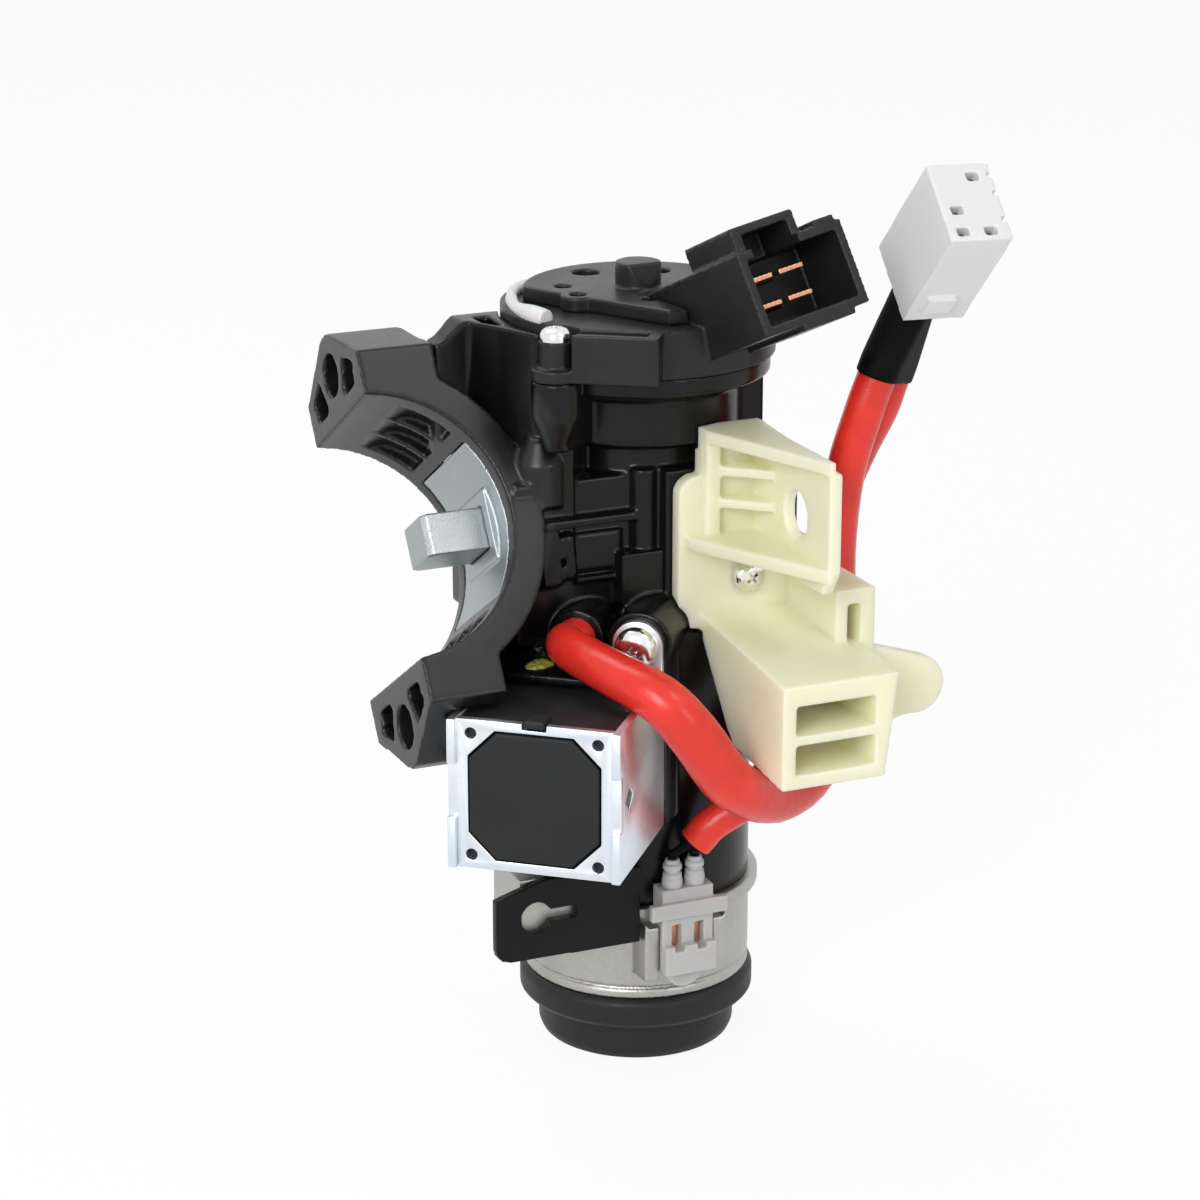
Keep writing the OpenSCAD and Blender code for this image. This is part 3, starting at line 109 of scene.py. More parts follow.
class Value:
    """A number in a node tree; its operators add Math nodes."""

    def __init__(self, graph: "Graph", socket: bpy.types.NodeSocket) -> None:
        """Wraps an output socket of the graph."""
        self.graph = graph
        self.socket = socket

    def _math(self, operation: str, first: object, second: object) -> "Value":
        """Adds one Math node on two Values or numbers, and returns its result."""
        node = self.graph.add("ShaderNodeMath", {"operation": operation}, {0: first, 1: second})
        return Value(self.graph, node.outputs[0])

    def __add__(self, other: object) -> "Value":
        """Adds."""
        return self._math("ADD", self, other)

    __radd__ = __add__

    def __sub__(self, other: object) -> "Value":
        """Subtracts."""
        return self._math("SUBTRACT", self, other)

    def __rsub__(self, other: object) -> "Value":
        """Subtracts from a number."""
        return self._math("SUBTRACT", other, self)

    def __mul__(self, other: object) -> "Value":
        """Multiplies."""
        return self._math("MULTIPLY", self, other)

    __rmul__ = __mul__

    def __pow__(self, other: object) -> "Value":
        """Raises to a power."""
        return self._math("POWER", self, other)

    def either(self, other: object) -> "Value":
        """Returns the larger of two values."""
        return self._math("MAXIMUM", self, other)

    def both(self, other: object) -> "Value":
        """Returns the smaller of two values."""
        return self._math("MINIMUM", self, other)

    def ramp(self, low: float, high: float) -> "Value":
        """Returns 0 at low and 1 at high, smoothly between; low may be the larger."""
        node = self.graph.add("ShaderNodeMapRange", {"interpolation_type": "SMOOTHSTEP"},
                              {"Value": self, "From Min": low, "From Max": high})
        return Value(self.graph, node.outputs[0])


class Graph:
    """The node tree of one material or of the world."""

    def __init__(self, owner: bpy.types.ID) -> None:
        """Starts from the shader that Blender puts in a new tree.

        Args:
            owner: The new material or world.
        """
        owner.use_nodes = True
        self.owner = owner
        self.tree = owner.node_tree
        self.shader = next(n for n in self.tree.nodes if not n.type.startswith("OUTPUT"))

    @cached_property
    def place(self) -> bpy.types.NodeSocket:
        """The surface point in the piece's own coordinates."""
        return self.add("ShaderNodeTexCoord").outputs["Object"]

    def add(self, kind: str, settings: Optional[dict] = None,
            values: Optional[dict] = None) -> bpy.types.Node:
        """Adds a node.

        Args:
            kind: The node's type.
            settings: Attributes that are set first.
            values: Socket names or places, with a number, colour, Value or socket each.

        Returns:
            The new node.
        """
        node = self.tree.nodes.new(kind)
        for key, setting in (settings or {}).items():
            setattr(node, key, setting)
        for key, value in (values or {}).items():
            self.put(node.inputs[key], value)
        return node

    def put(self, target: bpy.types.NodeSocket, value: object) -> None:
        """Links or sets one input socket.

        Args:
            target: The input.
            value: A number, colour, Value or socket.
        """
        if isinstance(value, Value):
            self.tree.links.new(value.socket, target)
        elif isinstance(value, bpy.types.NodeSocket):
            self.tree.links.new(value, target)
        elif target.type == "RGBA":
            target.default_value = (*value, 1.0)
        else:
            target.default_value = value

    def axes(self) -> tuple[Value, Value, Value]:
        """Returns the surface point's coordinates in millimetres."""
        node = self.add("ShaderNodeSeparateXYZ", None, {0: self.place})
        return tuple(Value(self, out) * (1 / MM) for out in node.outputs)

    def noise(self, size: float, detail: float = 2.0, stretch: Point = (1, 1, 1),
              roughness: float = 0.5) -> Value:
        """Returns cloud noise.

        Args:
            size: Feature size in millimetres.
            detail: Octaves.
            stretch: How much longer the features are along each axis.
            roughness: Weight of the finer octaves.

        Returns:
            A value from 0 to 1, about 0.5 on average.
        """
        vector = self.place
        if stretch != (1, 1, 1):
            scale = tuple(1 / s for s in stretch)
            vector = self.add("ShaderNodeVectorMath", {"operation": "MULTIPLY"},
                              {0: self.place, 1: scale}).outputs[0]
        node = self.add("ShaderNodeTexNoise", None,
                        {"Vector": vector, "Scale": 1 / (size * MM), "Detail": detail,
                         "Roughness": roughness})
        return Value(self, node.outputs["Fac"])

    def mix(self, factor: Value, first: object, second: object) -> bpy.types.NodeSocket:
        """Returns a colour between two colours."""
        node = self.add("ShaderNodeMix", {"data_type": "RGBA"}, {0: factor, 6: first, 7: second})
        return node.outputs[2]

    def bump(self, height: Value, depth: float) -> bpy.types.NodeSocket:
        """Returns a normal raised by the height, whose full scale is depth in millimetres."""
        node = self.add("ShaderNodeBump", None, {"Height": height, "Distance": depth * MM})
        return node.outputs[0]

    def shade(self, **values: object) -> None:
        """Sets the shader's sockets, named with underscores."""
        for key, value in values.items():
            self.put(self.shader.inputs[key.replace("_", " ")], value)

    def seen(self) -> Value:
        """Returns 1 for rays from the camera, a mirror or a lens."""
        rays = self.add("ShaderNodeLightPath").outputs
        camera, glossy, lens = (Value(self, rays[f"Is {kind} Ray"])
                                for kind in ("Camera", "Glossy", "Transmission"))
        return camera.either(glossy).either(lens)


@dataclass(frozen=True)
class Finish:
    """A surface finish; each is made into one material the first time it is used.

    Grain is the size of its fine mottling, depth the height of its bumps and scatter the reach of
    light in it, in millimetres. Variation is the share by which its colour drifts.
    """

    name: str
    colour: Colour
    roughness: float
    metallic: float = 0.0
    pattern: Pattern = Pattern.EVEN
    grain: float = 1.0
    depth: float = 0.02
    variation: float = 0.1
    subsurface: float = 0.0
    specular: float = 0.5
    scatter: float = 2.5
    made: ClassVar[dict[str, bpy.types.Material]] = {}
    CLOUD_GRAINS: ClassVar[float] = 14
    CLOUD_SHARE: ClassVar[float] = 0.65
    FINE_SHARE: ClassVar[float] = 0.6
    TONE_SPAN: ClassVar[tuple[float, float]] = (0.25, 0.75)
    ROUGHEST: ClassVar[float] = 0.95
    CAST_GRAINS: ClassVar[float] = 0.3
    PIT_GRAINS: ClassVar[float] = 0.5
    PIT_FINE_SHARE: ClassVar[float] = 0.4
    BLUSH_GRAINS: ClassVar[float] = 9
    BLUSH_SPAN: ClassVar[tuple[float, float]] = (0.42, 0.7)
    BLUSH_SHARE: ClassVar[float] = 0.5
    BLUSH_TINT: ClassVar[Colour] = (0.84, 0.94, 1.1)
    BRUSH_ROUGHNESS: ClassVar[float] = 0.08
    SCATTER_TINT: ClassVar[Colour] = (1.0, 0.95, 0.6)

    def material(self) -> bpy.types.Material:
        """Makes the finish's material at its first use.

        Returns:
            The material.
        """
        if self.name not in Finish.made:
            graph = Graph(bpy.data.materials.new(self.name))
            self.paint(graph)
            Finish.made[self.name] = graph.owner
        return Finish.made[self.name]

    def paint(self, graph: Graph) -> None:
        """Builds the material's nodes.

        Args:
            graph: The material's tree.
        """
        cloud = graph.noise(self.grain * self.CLOUD_GRAINS, 3)
        fine = graph.noise(self.grain, 3, roughness=0.6)
        tone = cloud * self.CLOUD_SHARE + fine * (1 - self.CLOUD_SHARE)
        colour = graph.mix(tone.ramp(*self.TONE_SPAN), tinted(self.colour, 1 - self.variation),
                           tinted(self.colour, 1 + self.variation))
        rough = self.roughness + (tone - 0.5) * self.roughness
        height = fine
        if self.pattern is Pattern.CAST:
            pits = graph.noise(self.grain * self.CAST_GRAINS, 2)
            height = fine * self.FINE_SHARE + pits * (1 - self.FINE_SHARE)
        elif self.pattern is Pattern.PLATED:
            blush = graph.noise(self.grain * self.BLUSH_GRAINS, 2, (1, 1, 2.5))
            blush = blush.ramp(*self.BLUSH_SPAN) * self.BLUSH_SHARE
            tint = tuple(c * k for c, k in zip(self.colour, self.BLUSH_TINT))
            colour = graph.mix(blush, colour, tint)
            brushed = graph.noise(self.grain * self.PIT_GRAINS, 2, (1, 1, 8))
            rough = rough + brushed * self.BRUSH_ROUGHNESS
        elif self.pattern is Pattern.GRAINED:
            scale = 1 / (self.grain * self.PIT_GRAINS * MM)
            pits = graph.add("ShaderNodeTexVoronoi", None,
                             {"Vector": graph.place, "Scale": scale}).outputs["Distance"]
            height = (Value(graph, pits) * (1 - self.PIT_FINE_SHARE)
                      + fine * self.PIT_FINE_SHARE)
        graph.shade(Base_Color=colour, Roughness=rough.both(self.ROUGHEST),
                    Metallic=self.metallic, Subsurface_Weight=self.subsurface,
                    Subsurface_Scale=self.scatter * MM, Subsurface_Radius=self.SCATTER_TINT,
                    Specular_IOR_Level=self.specular, Normal=graph.bump(height, self.depth))


@dataclass(frozen=True)
class HousingPaint(Finish):
    """Black casting: glossy on the body, satin with flow streaks round the collar and ears."""

    coat: float = 0.0
    collar_tilt: float = 32.0
    column_x: float = -1.7
    collar_radius: float = 28.6
    collar_fade: float = 1.2
    ear_x: tuple[float, float] = (15.0, 13.5)
    COAT_ROUGHNESS: ClassVar[float] = 0.32
    CLOUD_GRAINS: ClassVar[float] = 9
    STREAK_SIZE: ClassVar[float] = 1.1
    STREAK_STRETCH: ClassVar[Point] = (1.0, 1.6, 3.0)
    FLOW_SPAN: ClassVar[tuple[float, float]] = (0.3, 0.7)
    SATIN_SHARE: ClassVar[float] = 1.5
    FLOW_SHARES: ClassVar[tuple[float, float]] = (0.5, 1.7)
    SCUFF_SIZE: ClassVar[float] = 0.5
    SCUFF_STRETCH: ClassVar[Point] = (1, 6, 1)
    SCUFF_TINT: ClassVar[float] = 6.0
    SCUFF_SHARE: ClassVar[float] = 0.3
    ROUGHEST: ClassVar[float] = 0.9

    def paint(self, graph: Graph) -> None:
        """Builds the gloss body and the satin, streaked collar.

        Args:
            graph: The material's tree.
        """
        x, y, z = graph.axes()
        tilt = math.radians(self.collar_tilt)
        across = y * math.sin(tilt) + z * math.cos(tilt)
        aside = x - self.column_x
        radius = (across * across + aside * aside) ** 0.5
        collar = radius.ramp(self.collar_radius + self.collar_fade, self.collar_radius)
        collar = collar.either(x.ramp(*self.ear_x))
        cloud = graph.noise(self.grain * self.CLOUD_GRAINS, 4)
        streak = graph.noise(self.STREAK_SIZE, 4, self.STREAK_STRETCH, 0.6)
        peel = graph.noise(self.grain, 3)
        satin = tinted(self.colour, self.SATIN_SHARE)
        flow = graph.mix((streak * 0.5 + cloud * 0.5).ramp(*self.FLOW_SPAN),
                         *[tinted(satin, share) for share in self.FLOW_SHARES])
        colour = graph.mix(collar, self.colour, flow)
        scratch = graph.noise(self.SCUFF_SIZE, 3, self.SCUFF_STRETCH)
        scuff = scratch.ramp(0.64, 0.74) * cloud.ramp(0.52, 0.68)
        colour = graph.mix(scuff * self.SCUFF_SHARE, colour, tinted(self.colour, self.SCUFF_TINT))
        rough = (self.roughness + (cloud - 0.5) * 0.1 + collar * 0.06 + streak * collar * 0.14
                 + scuff * 0.15)
        graph.shade(Base_Color=colour, Roughness=rough.both(self.ROUGHEST),
                    Coat_Weight=collar * self.coat, Coat_Roughness=self.COAT_ROUGHNESS,
                    Specular_IOR_Level=self.specular,
                    Normal=graph.bump(peel * 0.5 + streak * collar * 0.5, self.depth))


@dataclass(frozen=True)
class SleeveSkin(Finish):
    """Glossy shrink sleeve with soft waves; painted shade darkens its colour in the folds, by the
    share given as variation.
    """

    coat: float = 0.0
    scatter: float = 1.5
    COAT_ROUGHNESS: ClassVar[float] = 0.2
    FOLD_SHADE_SPAN: ClassVar[tuple[float, float]] = (0.3, 0.7)
    FINE_GRAINS: ClassVar[float] = 0.12
    WAVE_SHARE: ClassVar[float] = 0.85
    WAVE_ROUGHNESS: ClassVar[float] = 0.16

    def paint(self, graph: Graph) -> None:
        """Builds the skin.

        Args:
            graph: The material's tree.
        """
        wave = graph.noise(self.grain, 2)
        fine = graph.noise(self.grain * self.FINE_GRAINS, 2)
        # Painted shade: the colour darkens where the waves dip, in the folds.
        fold_shade = tinted(self.colour, 1 - self.variation)
        height = wave * self.WAVE_SHARE + fine * (1 - self.WAVE_SHARE)
        graph.shade(Base_Color=graph.mix(wave.ramp(*self.FOLD_SHADE_SPAN), fold_shade, self.colour),
                    Roughness=self.roughness + (wave - 0.5) * self.WAVE_ROUGHNESS,
                    Coat_Weight=self.coat, Coat_Roughness=self.COAT_ROUGHNESS,
                    Subsurface_Weight=self.subsurface, Subsurface_Scale=self.scatter * MM,
                    Specular_IOR_Level=self.specular,
                    Normal=graph.bump(height, self.depth))


PAINT = HousingPaint("gloss_black_casting", (0.0045, 0.0046, 0.0049), 0.24, grain=0.8, depth=0.014,
                     coat=0.26, specular=0.24)
ZINC = Finish("cast_zinc", (0.43, 0.425, 0.40), 0.4, metallic=1.0, pattern=Pattern.CAST,
              grain=0.9, depth=0.03, variation=0.12)
GUIDE_ZINC = Finish("guide_zinc", (0.375, 0.42, 0.43), 0.44, metallic=1.0, pattern=Pattern.CAST,
                    grain=1.4, depth=0.06, variation=0.12)
BOLT_ZINC = Finish("bolt_zinc", (0.38, 0.41, 0.415), 0.4, metallic=1.0, pattern=Pattern.GRAINED,
                   grain=0.7, depth=0.05, variation=0.1)
PLATED = Finish("zinc_plated_sheet", (0.78, 0.83, 0.865), 0.34, metallic=1.0,
                pattern=Pattern.PLATED, grain=1.6, depth=0.01, variation=0.06)
CHROME = Finish("bright_screw", (0.80, 0.80, 0.80), 0.16, metallic=1.0, grain=0.6, depth=0.006,
                variation=0.05)
# Painted shade: terminal metal coloured far darker than bare metal, to stand for the shade inside
# the plug's windows.
TERMINAL_WITH_PAINTED_SHADE = Finish("terminal_painted_shade", (0.24, 0.21, 0.17), 0.4, metallic=1.0, grain=0.6, depth=0.006,
                variation=0.1)
COPPER = Finish("copper", (0.60, 0.31, 0.20), 0.34, metallic=1.0, grain=0.8, depth=0.008,
                variation=0.08)
BRASS = Finish("wafer_brass", (0.68, 0.5, 0.2), 0.32, metallic=1.0, grain=0.8, depth=0.01,
               variation=0.08)
BLACK_MOULDING = Finish("satin_black_moulding", (0.014, 0.0144, 0.0147), 0.36, grain=0.7,
                        depth=0.012, variation=0.2, specular=0.27)
PLATE_BLACK = Finish("side_plate_moulding", (0.0048, 0.0048, 0.005), 0.45,
                     pattern=Pattern.GRAINED, grain=0.5, depth=0.01, variation=0.2, specular=0.2)
MATTE_BLACK = Finish("matte_black_moulding", (0.0115, 0.0118, 0.0122), 0.5,
                     pattern=Pattern.GRAINED, grain=0.45, depth=0.02, variation=0.2, specular=0.3)
BOBBIN = Finish("bobbin_moulding", (0.0125, 0.0132, 0.0138), 0.55, pattern=Pattern.GRAINED,
                grain=0.5, depth=0.012, variation=0.15, specular=0.3)
CREAM = Finish("cream_nylon", (0.86, 0.855, 0.63), 0.4, grain=1.5, depth=0.01, variation=0.02,
               subsurface=0.8, specular=0.4, scatter=4.5)
WHITE = Finish("white_moulding", (0.76, 0.76, 0.77), 0.4, grain=1.2, depth=0.01, variation=0.02,
               subsurface=0.12, specular=0.35)
MILKY = Finish("milky_nylon", (0.53, 0.53, 0.525), 0.36, grain=1.2, depth=0.01, variation=0.04,
               subsurface=0.5, scatter=1.5)
SEAL = Finish("pale_seal", (0.55, 0.56, 0.565), 0.5, grain=0.8, depth=0.01, variation=0.04,
              subsurface=0.3)
ROTOR = Finish("rotor_moulding", (0.70, 0.66, 0.52), 0.45, depth=0.01, variation=0.05)
INSULATION = SleeveSkin("black_insulation", (0.004, 0.004, 0.0043), 0.5, grain=5.0, depth=0.1,
                        variation=0.2, specular=0.06)
RED = SleeveSkin("red_sleeve", (0.82, 0.034, 0.02), 0.34, grain=7.0, depth=0.4, variation=0.16,
                 coat=0.12, subsurface=0.06, specular=0.4)
GREASE = SleeveSkin("white_grease", (0.72, 0.73, 0.74), 0.34, grain=1.6, depth=0.2, variation=0.06,
                    subsurface=0.3)
PAINT_DAB = SleeveSkin("yellow_paint_dab", (0.62, 0.64, 0.10), 0.32, grain=1.2, depth=0.15,
                       variation=0.35)


@dataclass(frozen=True)
class Soft:
    """How edges are rounded: remeshing step in millimetres, smoothing passes, triangle limit."""

    voxel: float
    rounds: int
    limit: int


class Bench:
    """Mesh work done with Blender's own operators."""

    MERGE: ClassVar[float] = 2e-6
    FLAT_ANGLE: ClassVar[float] = 0.4
    CREASE_ANGLE: ClassVar[float] = 32.0
    SOFT_ANGLE: ClassVar[float] = 50.0
    BREAK_ANGLE: ClassVar[float] = 40.0

    @staticmethod
    def release() -> None:
        """Deselects everything."""
        for other in bpy.context.view_layer.objects:
            other.select_set(False)

    @classmethod
    def hold(cls, obj: bpy.types.Object) -> None:
        """Makes the object the only selected one.

        Args:
            obj: The object.
        """
        cls.release()
        obj.select_set(True)
        bpy.context.view_layer.objects.active = obj

    @staticmethod
    @contextmanager
    def editing() -> Iterator[None]:
        """Opens edit mode with the whole mesh selected, and closes it at the end.

        Returns:
            A context for the edits.
        """
        bpy.ops.object.mode_set(mode="EDIT")
        bpy.ops.mesh.select_all(action="SELECT")
        yield
        bpy.ops.object.mode_set(mode="OBJECT")

    @staticmethod
    def pick(obj: bpy.types.Object, upward: int) -> None:
        """Selects one end face, and stays in edit mode.

        Args:
            obj: The object being edited.
            upward: 1 for the highest face, -1 for the lowest.
        """
        bpy.ops.object.mode_set(mode="EDIT")
        bpy.ops.mesh.select_mode(type="FACE")
        bpy.ops.mesh.select_all(action="DESELECT")
        bpy.ops.object.mode_set(mode="OBJECT")
        max(obj.data.polygons, key=lambda face: face.center.z * upward).select = True
        bpy.ops.object.mode_set(mode="EDIT")

    @classmethod
    def copy_of(cls, node: str, name: str) -> bpy.types.Object:
        """Copies a CAD node with its loose triangles merged into faces.

        Args:
            node: The CAD node.
            name: The new piece's name.

        Returns:
            The new object.
        """
        obj = bpy.data.objects.new(name, frame["nodes"][node].data.copy())
        bpy.context.scene.collection.objects.link(obj)
        obj.data.materials.clear()
        cls.hold(obj)
        with cls.editing():
            bpy.ops.mesh.remove_doubles(threshold=cls.MERGE)
            bpy.ops.mesh.dissolve_limited(angle_limit=math.radians(cls.FLAT_ANGLE))
        return obj

    @staticmethod
    def tube(name: str, kind: str, depth: float, stations: Sequence[tuple[Vector, float]],
             sides: int) -> bpy.types.Object:
        """Makes a round tube as a curve of one open spline.

        Args:
            name: The piece's name.
            kind: The spline's type.
            depth: Its radius in metres, where its width is 1.
            stations: Its points in metres, each with its width.
            sides: The bevel's resolution.

        Returns:
            The curve object.
        """
        data = bpy.data.curves.new(name, "CURVE")
        data.dimensions = "3D"
        data.bevel_depth = depth
        data.bevel_resolution = sides
        data.use_fill_caps = True
        spline = data.splines.new(kind)
        spline.points.add(len(stations) - 1)
        for point, (place, width) in zip(spline.points, stations):
            point.co = (*place, 1.0)
            point.radius = width
        obj = bpy.data.objects.new(name, data)
        bpy.context.scene.collection.objects.link(obj)
        return obj

    @classmethod
    def apply(cls, obj: bpy.types.Object, kind: str, **settings: object) -> None:
        """Adds a modifier and applies it.

        Args:
            obj: The object.
            kind: The modifier's type.
            settings: The modifier's attributes.
        """
        cls.hold(obj)
        modifier = obj.modifiers.new(kind.lower(), kind)
        for key, value in settings.items():
            setattr(modifier, key, value)
        bpy.ops.object.modifier_apply(modifier=modifier.name)

    @classmethod
    def smooth(cls, obj: bpy.types.Object, angle: float = CREASE_ANGLE) -> None:
        """Shades the object smooth across edges below an angle in degrees."""
        cls.hold(obj)
        bpy.ops.object.shade_smooth_by_angle(angle=math.radians(angle))

    @classmethod
    def soften(cls, obj: bpy.types.Object, soft: Soft) -> None:
        """Rounds all edges, as moulding and casting do.

        Args:
            obj: The piece, a closed mesh.
            soft: How far it is rounded.
        """
        cls.apply(obj, "REMESH", mode="VOXEL", voxel_size=soft.voxel * MM)
        cls.apply(obj, "SMOOTH", factor=0.5, iterations=soft.rounds)
        triangles = sum(len(face.vertices) - 2 for face in obj.data.polygons)
        if triangles > soft.limit:
            cls.apply(obj, "DECIMATE", ratio=soft.limit / triangles)
        cls.smooth(obj, cls.SOFT_ANGLE)

    @classmethod
    def bevel(cls, obj: bpy.types.Object, width: float) -> None:
        """Breaks the edges of sheet metal to a width in millimetres."""
        cls.apply(obj, "BEVEL", width=width * MM, segments=2, limit_method="ANGLE",
                  angle_limit=math.radians(cls.BREAK_ANGLE), use_clamp_overlap=False)
        cls.smooth(obj)

    @classmethod
    def settle(cls, obj: bpy.types.Object) -> None:
        """Puts the object's place into its mesh."""
        cls.hold(obj)
        bpy.ops.object.transform_apply(location=True, rotation=True, scale=True)


class SubAssembly:
    """A group of pieces that are built, dressed and set on a body together."""

    title = "sub-assembly"

    def keep(self, obj: bpy.types.Object, finish: Finish, body: Body, slot: str,
             *nodes: str) -> bpy.types.Object:
        """Dresses a new piece and sets it on its body.

        Args:
            obj: The piece, in place.
            finish: Its finish.
            body: The body it moves with.
            slot: The record's material slot; not used.
            nodes: The CAD nodes it stands for.

        Returns:
            The piece.
        """
        obj.data.materials.clear()
        obj.data.materials.append(finish.material())
        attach(obj, body.value)
        if nodes:
            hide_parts(*nodes)
        LOG.info("%s: %s on %s", self.title, obj.name, body.value)
        return obj

    def softened(self, node: str, soft: Soft, finish: Finish, slot: str,
                 body: Body = Body.HOUSING) -> bpy.types.Object:
        """Makes a piece from a CAD node with rounded edges.

        Args:
            node: The CAD node.
            soft: How far it is rounded.
            finish: Its finish.
            slot: The record's material slot, handed to keep, which does not use it.
            body: The body it moves with.

        Returns:
            The piece.
        """
        obj = Bench.copy_of(node, node + "_soft")
        Bench.soften(obj, soft)
        return self.keep(obj, finish, body, slot, node)

    def broken(self, node: str, width: float, finish: Finish, slot: str) -> None:
        """Makes a piece from a sheet metal CAD node with its edges broken.

        Args:
            node: The CAD node.
            width: How wide the edges are broken, in millimetres.
            finish: Its finish.
            slot: The record's material slot, handed to keep, which does not use it.
        """
        obj = Bench.copy_of(node, node + "_sheet")
        Bench.bevel(obj, width)
        self.keep(obj, finish, Body.HOUSING, slot, node)

    def coiled(self, node: str, joint: str, axis: Point, travel: float) -> None:
        """Makes a plated spring from a CAD node, on the housing, with a mesh of its own.

        Args:
            node: The CAD spring.
            joint: Not used.
            axis: Not used.
            travel: Not used.
        """
        obj = Bench.copy_of(node, node + "_coil")
        Bench.smooth(obj, Bench.SOFT_ANGLE)
        self.keep(obj, PLATED, Body.HOUSING, "plated_steel", node)
        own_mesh(obj)

    def dress(self, finish: Finish, *nodes: str) -> None:
        """Gives CAD nodes a finish.

        Args:
            finish: The finish.
            nodes: The CAD nodes, which keep their solids.
        """
        for node in nodes:
            mesh = frame["nodes"][node].data
            mesh.materials.clear()
            mesh.materials.append(finish.material())
            LOG.info("%s: %s keeps its solid", self.title, node)

    def build(self) -> None:
        """Builds and dresses the pieces."""
        raise NotImplementedError


@dataclass
class Camera:
    """The photograph's viewpoint, fitted to the collar, the barrel and the bracket."""

    target: Point = (LOCK_X, 0.0, -15.0)
    azimuth: float = -24.0
    elevation: float = 18.0
    distance: float = 583.0
    aside: float = 6.27
    lens: float = 103.2
    sensor: float = 36.0
    clip: tuple[float, float] = (0.01, 10.0)

    def build(self) -> None:
        """Places the camera."""
        a, e = math.radians(self.azimuth), math.radians(self.elevation)
        right = Vector((math.cos(a), math.sin(a), 0))
        back = Vector((math.sin(a) * math.cos(e), -math.cos(a) * math.cos(e), math.sin(e)))
        up = back.cross(right)
        data = bpy.data.cameras.new("photo_camera")
        data.lens = self.lens
        data.sensor_width = self.sensor
        data.clip_start, data.clip_end = self.clip
        obj = bpy.data.objects.new("photo_camera", data)
        bpy.context.scene.collection.objects.link(obj)
        obj.matrix_world = Matrix((right, up, back)).transposed().to_4x4()
        obj.location = (Vector(self.target) + back * self.distance - right * self.aside) * MM
        bpy.context.scene.camera = obj


@dataclass
class Lamp:
    """One square soft box, placed in metres."""

    name: str
    place: Point
    size: float
    watts: float
    aim: Point = (0.05, 0.0, -0.02)

    def build(self) -> None:
        """Hangs the lamp and turns it to the object."""
        data = bpy.data.lights.new(self.name, "AREA")
        data.shape = "SQUARE"
        data.size = self.size
        data.energy = self.watts
        obj = bpy.data.objects.new(self.name, data)
        bpy.context.scene.collection.objects.link(obj)
        obj.location = self.place
        aim = Vector(self.aim) - Vector(self.place)
        obj.rotation_euler = aim.to_track_quat("-Z", "Y").to_euler()


@dataclass
class Studio:
    """Pale floor, white surround and soft boxes."""

    floor_at: Point = (0.05, 0.0, -0.0932)
    floor_span: float = 14.0
    floor_glow: float = 0.92
    sky: float = 0.34
    lamps: list[Lamp] = field(default_factory=lambda: [
        Lamp("key_box", (-0.7, -0.75, 0.5), size=0.5, watts=7.5),
        Lamp("fill_box", (0.44, -0.66, 0.98), size=0.38, watts=2.0),
        Lamp("top_box", (-0.15, 0.45, 0.95), size=0.6, watts=4.0),
        Lamp("strip_box", (0.35, -0.9, 0.25), size=0.25, watts=0.9),
    ])

    def build(self) -> None:
        """Builds the floor, the surround and the lamps."""
        self.floor()
        self.surround()
        for lamp in self.lamps:
            lamp.build()
        bpy.context.scene.view_settings.view_transform = "Standard"

    def floor(self) -> None:
        """Lays the floor, almost white to the camera and to mirrors, with the object's shadow."""
        Bench.release()
        bpy.ops.mesh.primitive_plane_add(size=self.floor_span, location=self.floor_at)
        floor = bpy.context.object
        floor.name = "pale_floor"
        Bench.settle(floor)
        graph = Graph(bpy.data.materials.new("pale_floor"))
        graph.shade(Base_Color=(0.9, 0.9, 0.9), Roughness=0.9, Specular_IOR_Level=0.1)
        glow = graph.add("ShaderNodeEmission", None, {"Color": (1, 1, 1), "Strength": 1.0})
        blend = graph.add("ShaderNodeMixShader", None,
                          {0: graph.seen() * self.floor_glow, 1: graph.shader.outputs[0],
                           2: glow.outputs[0]})
        graph.put(graph.tree.nodes["Material Output"].inputs["Surface"], blend.outputs[0])
        floor.data.materials.append(graph.owner)

    def surround(self) -> None:
        """Makes the world white to the camera and mirrors, and a soft light on the object."""
        world = bpy.data.worlds.new("white_surround")
        bpy.context.scene.world = world
        graph = Graph(world)
        graph.shade(Color=(1, 1, 1), Strength=graph.seen() * (1 - self.sky) + self.sky)


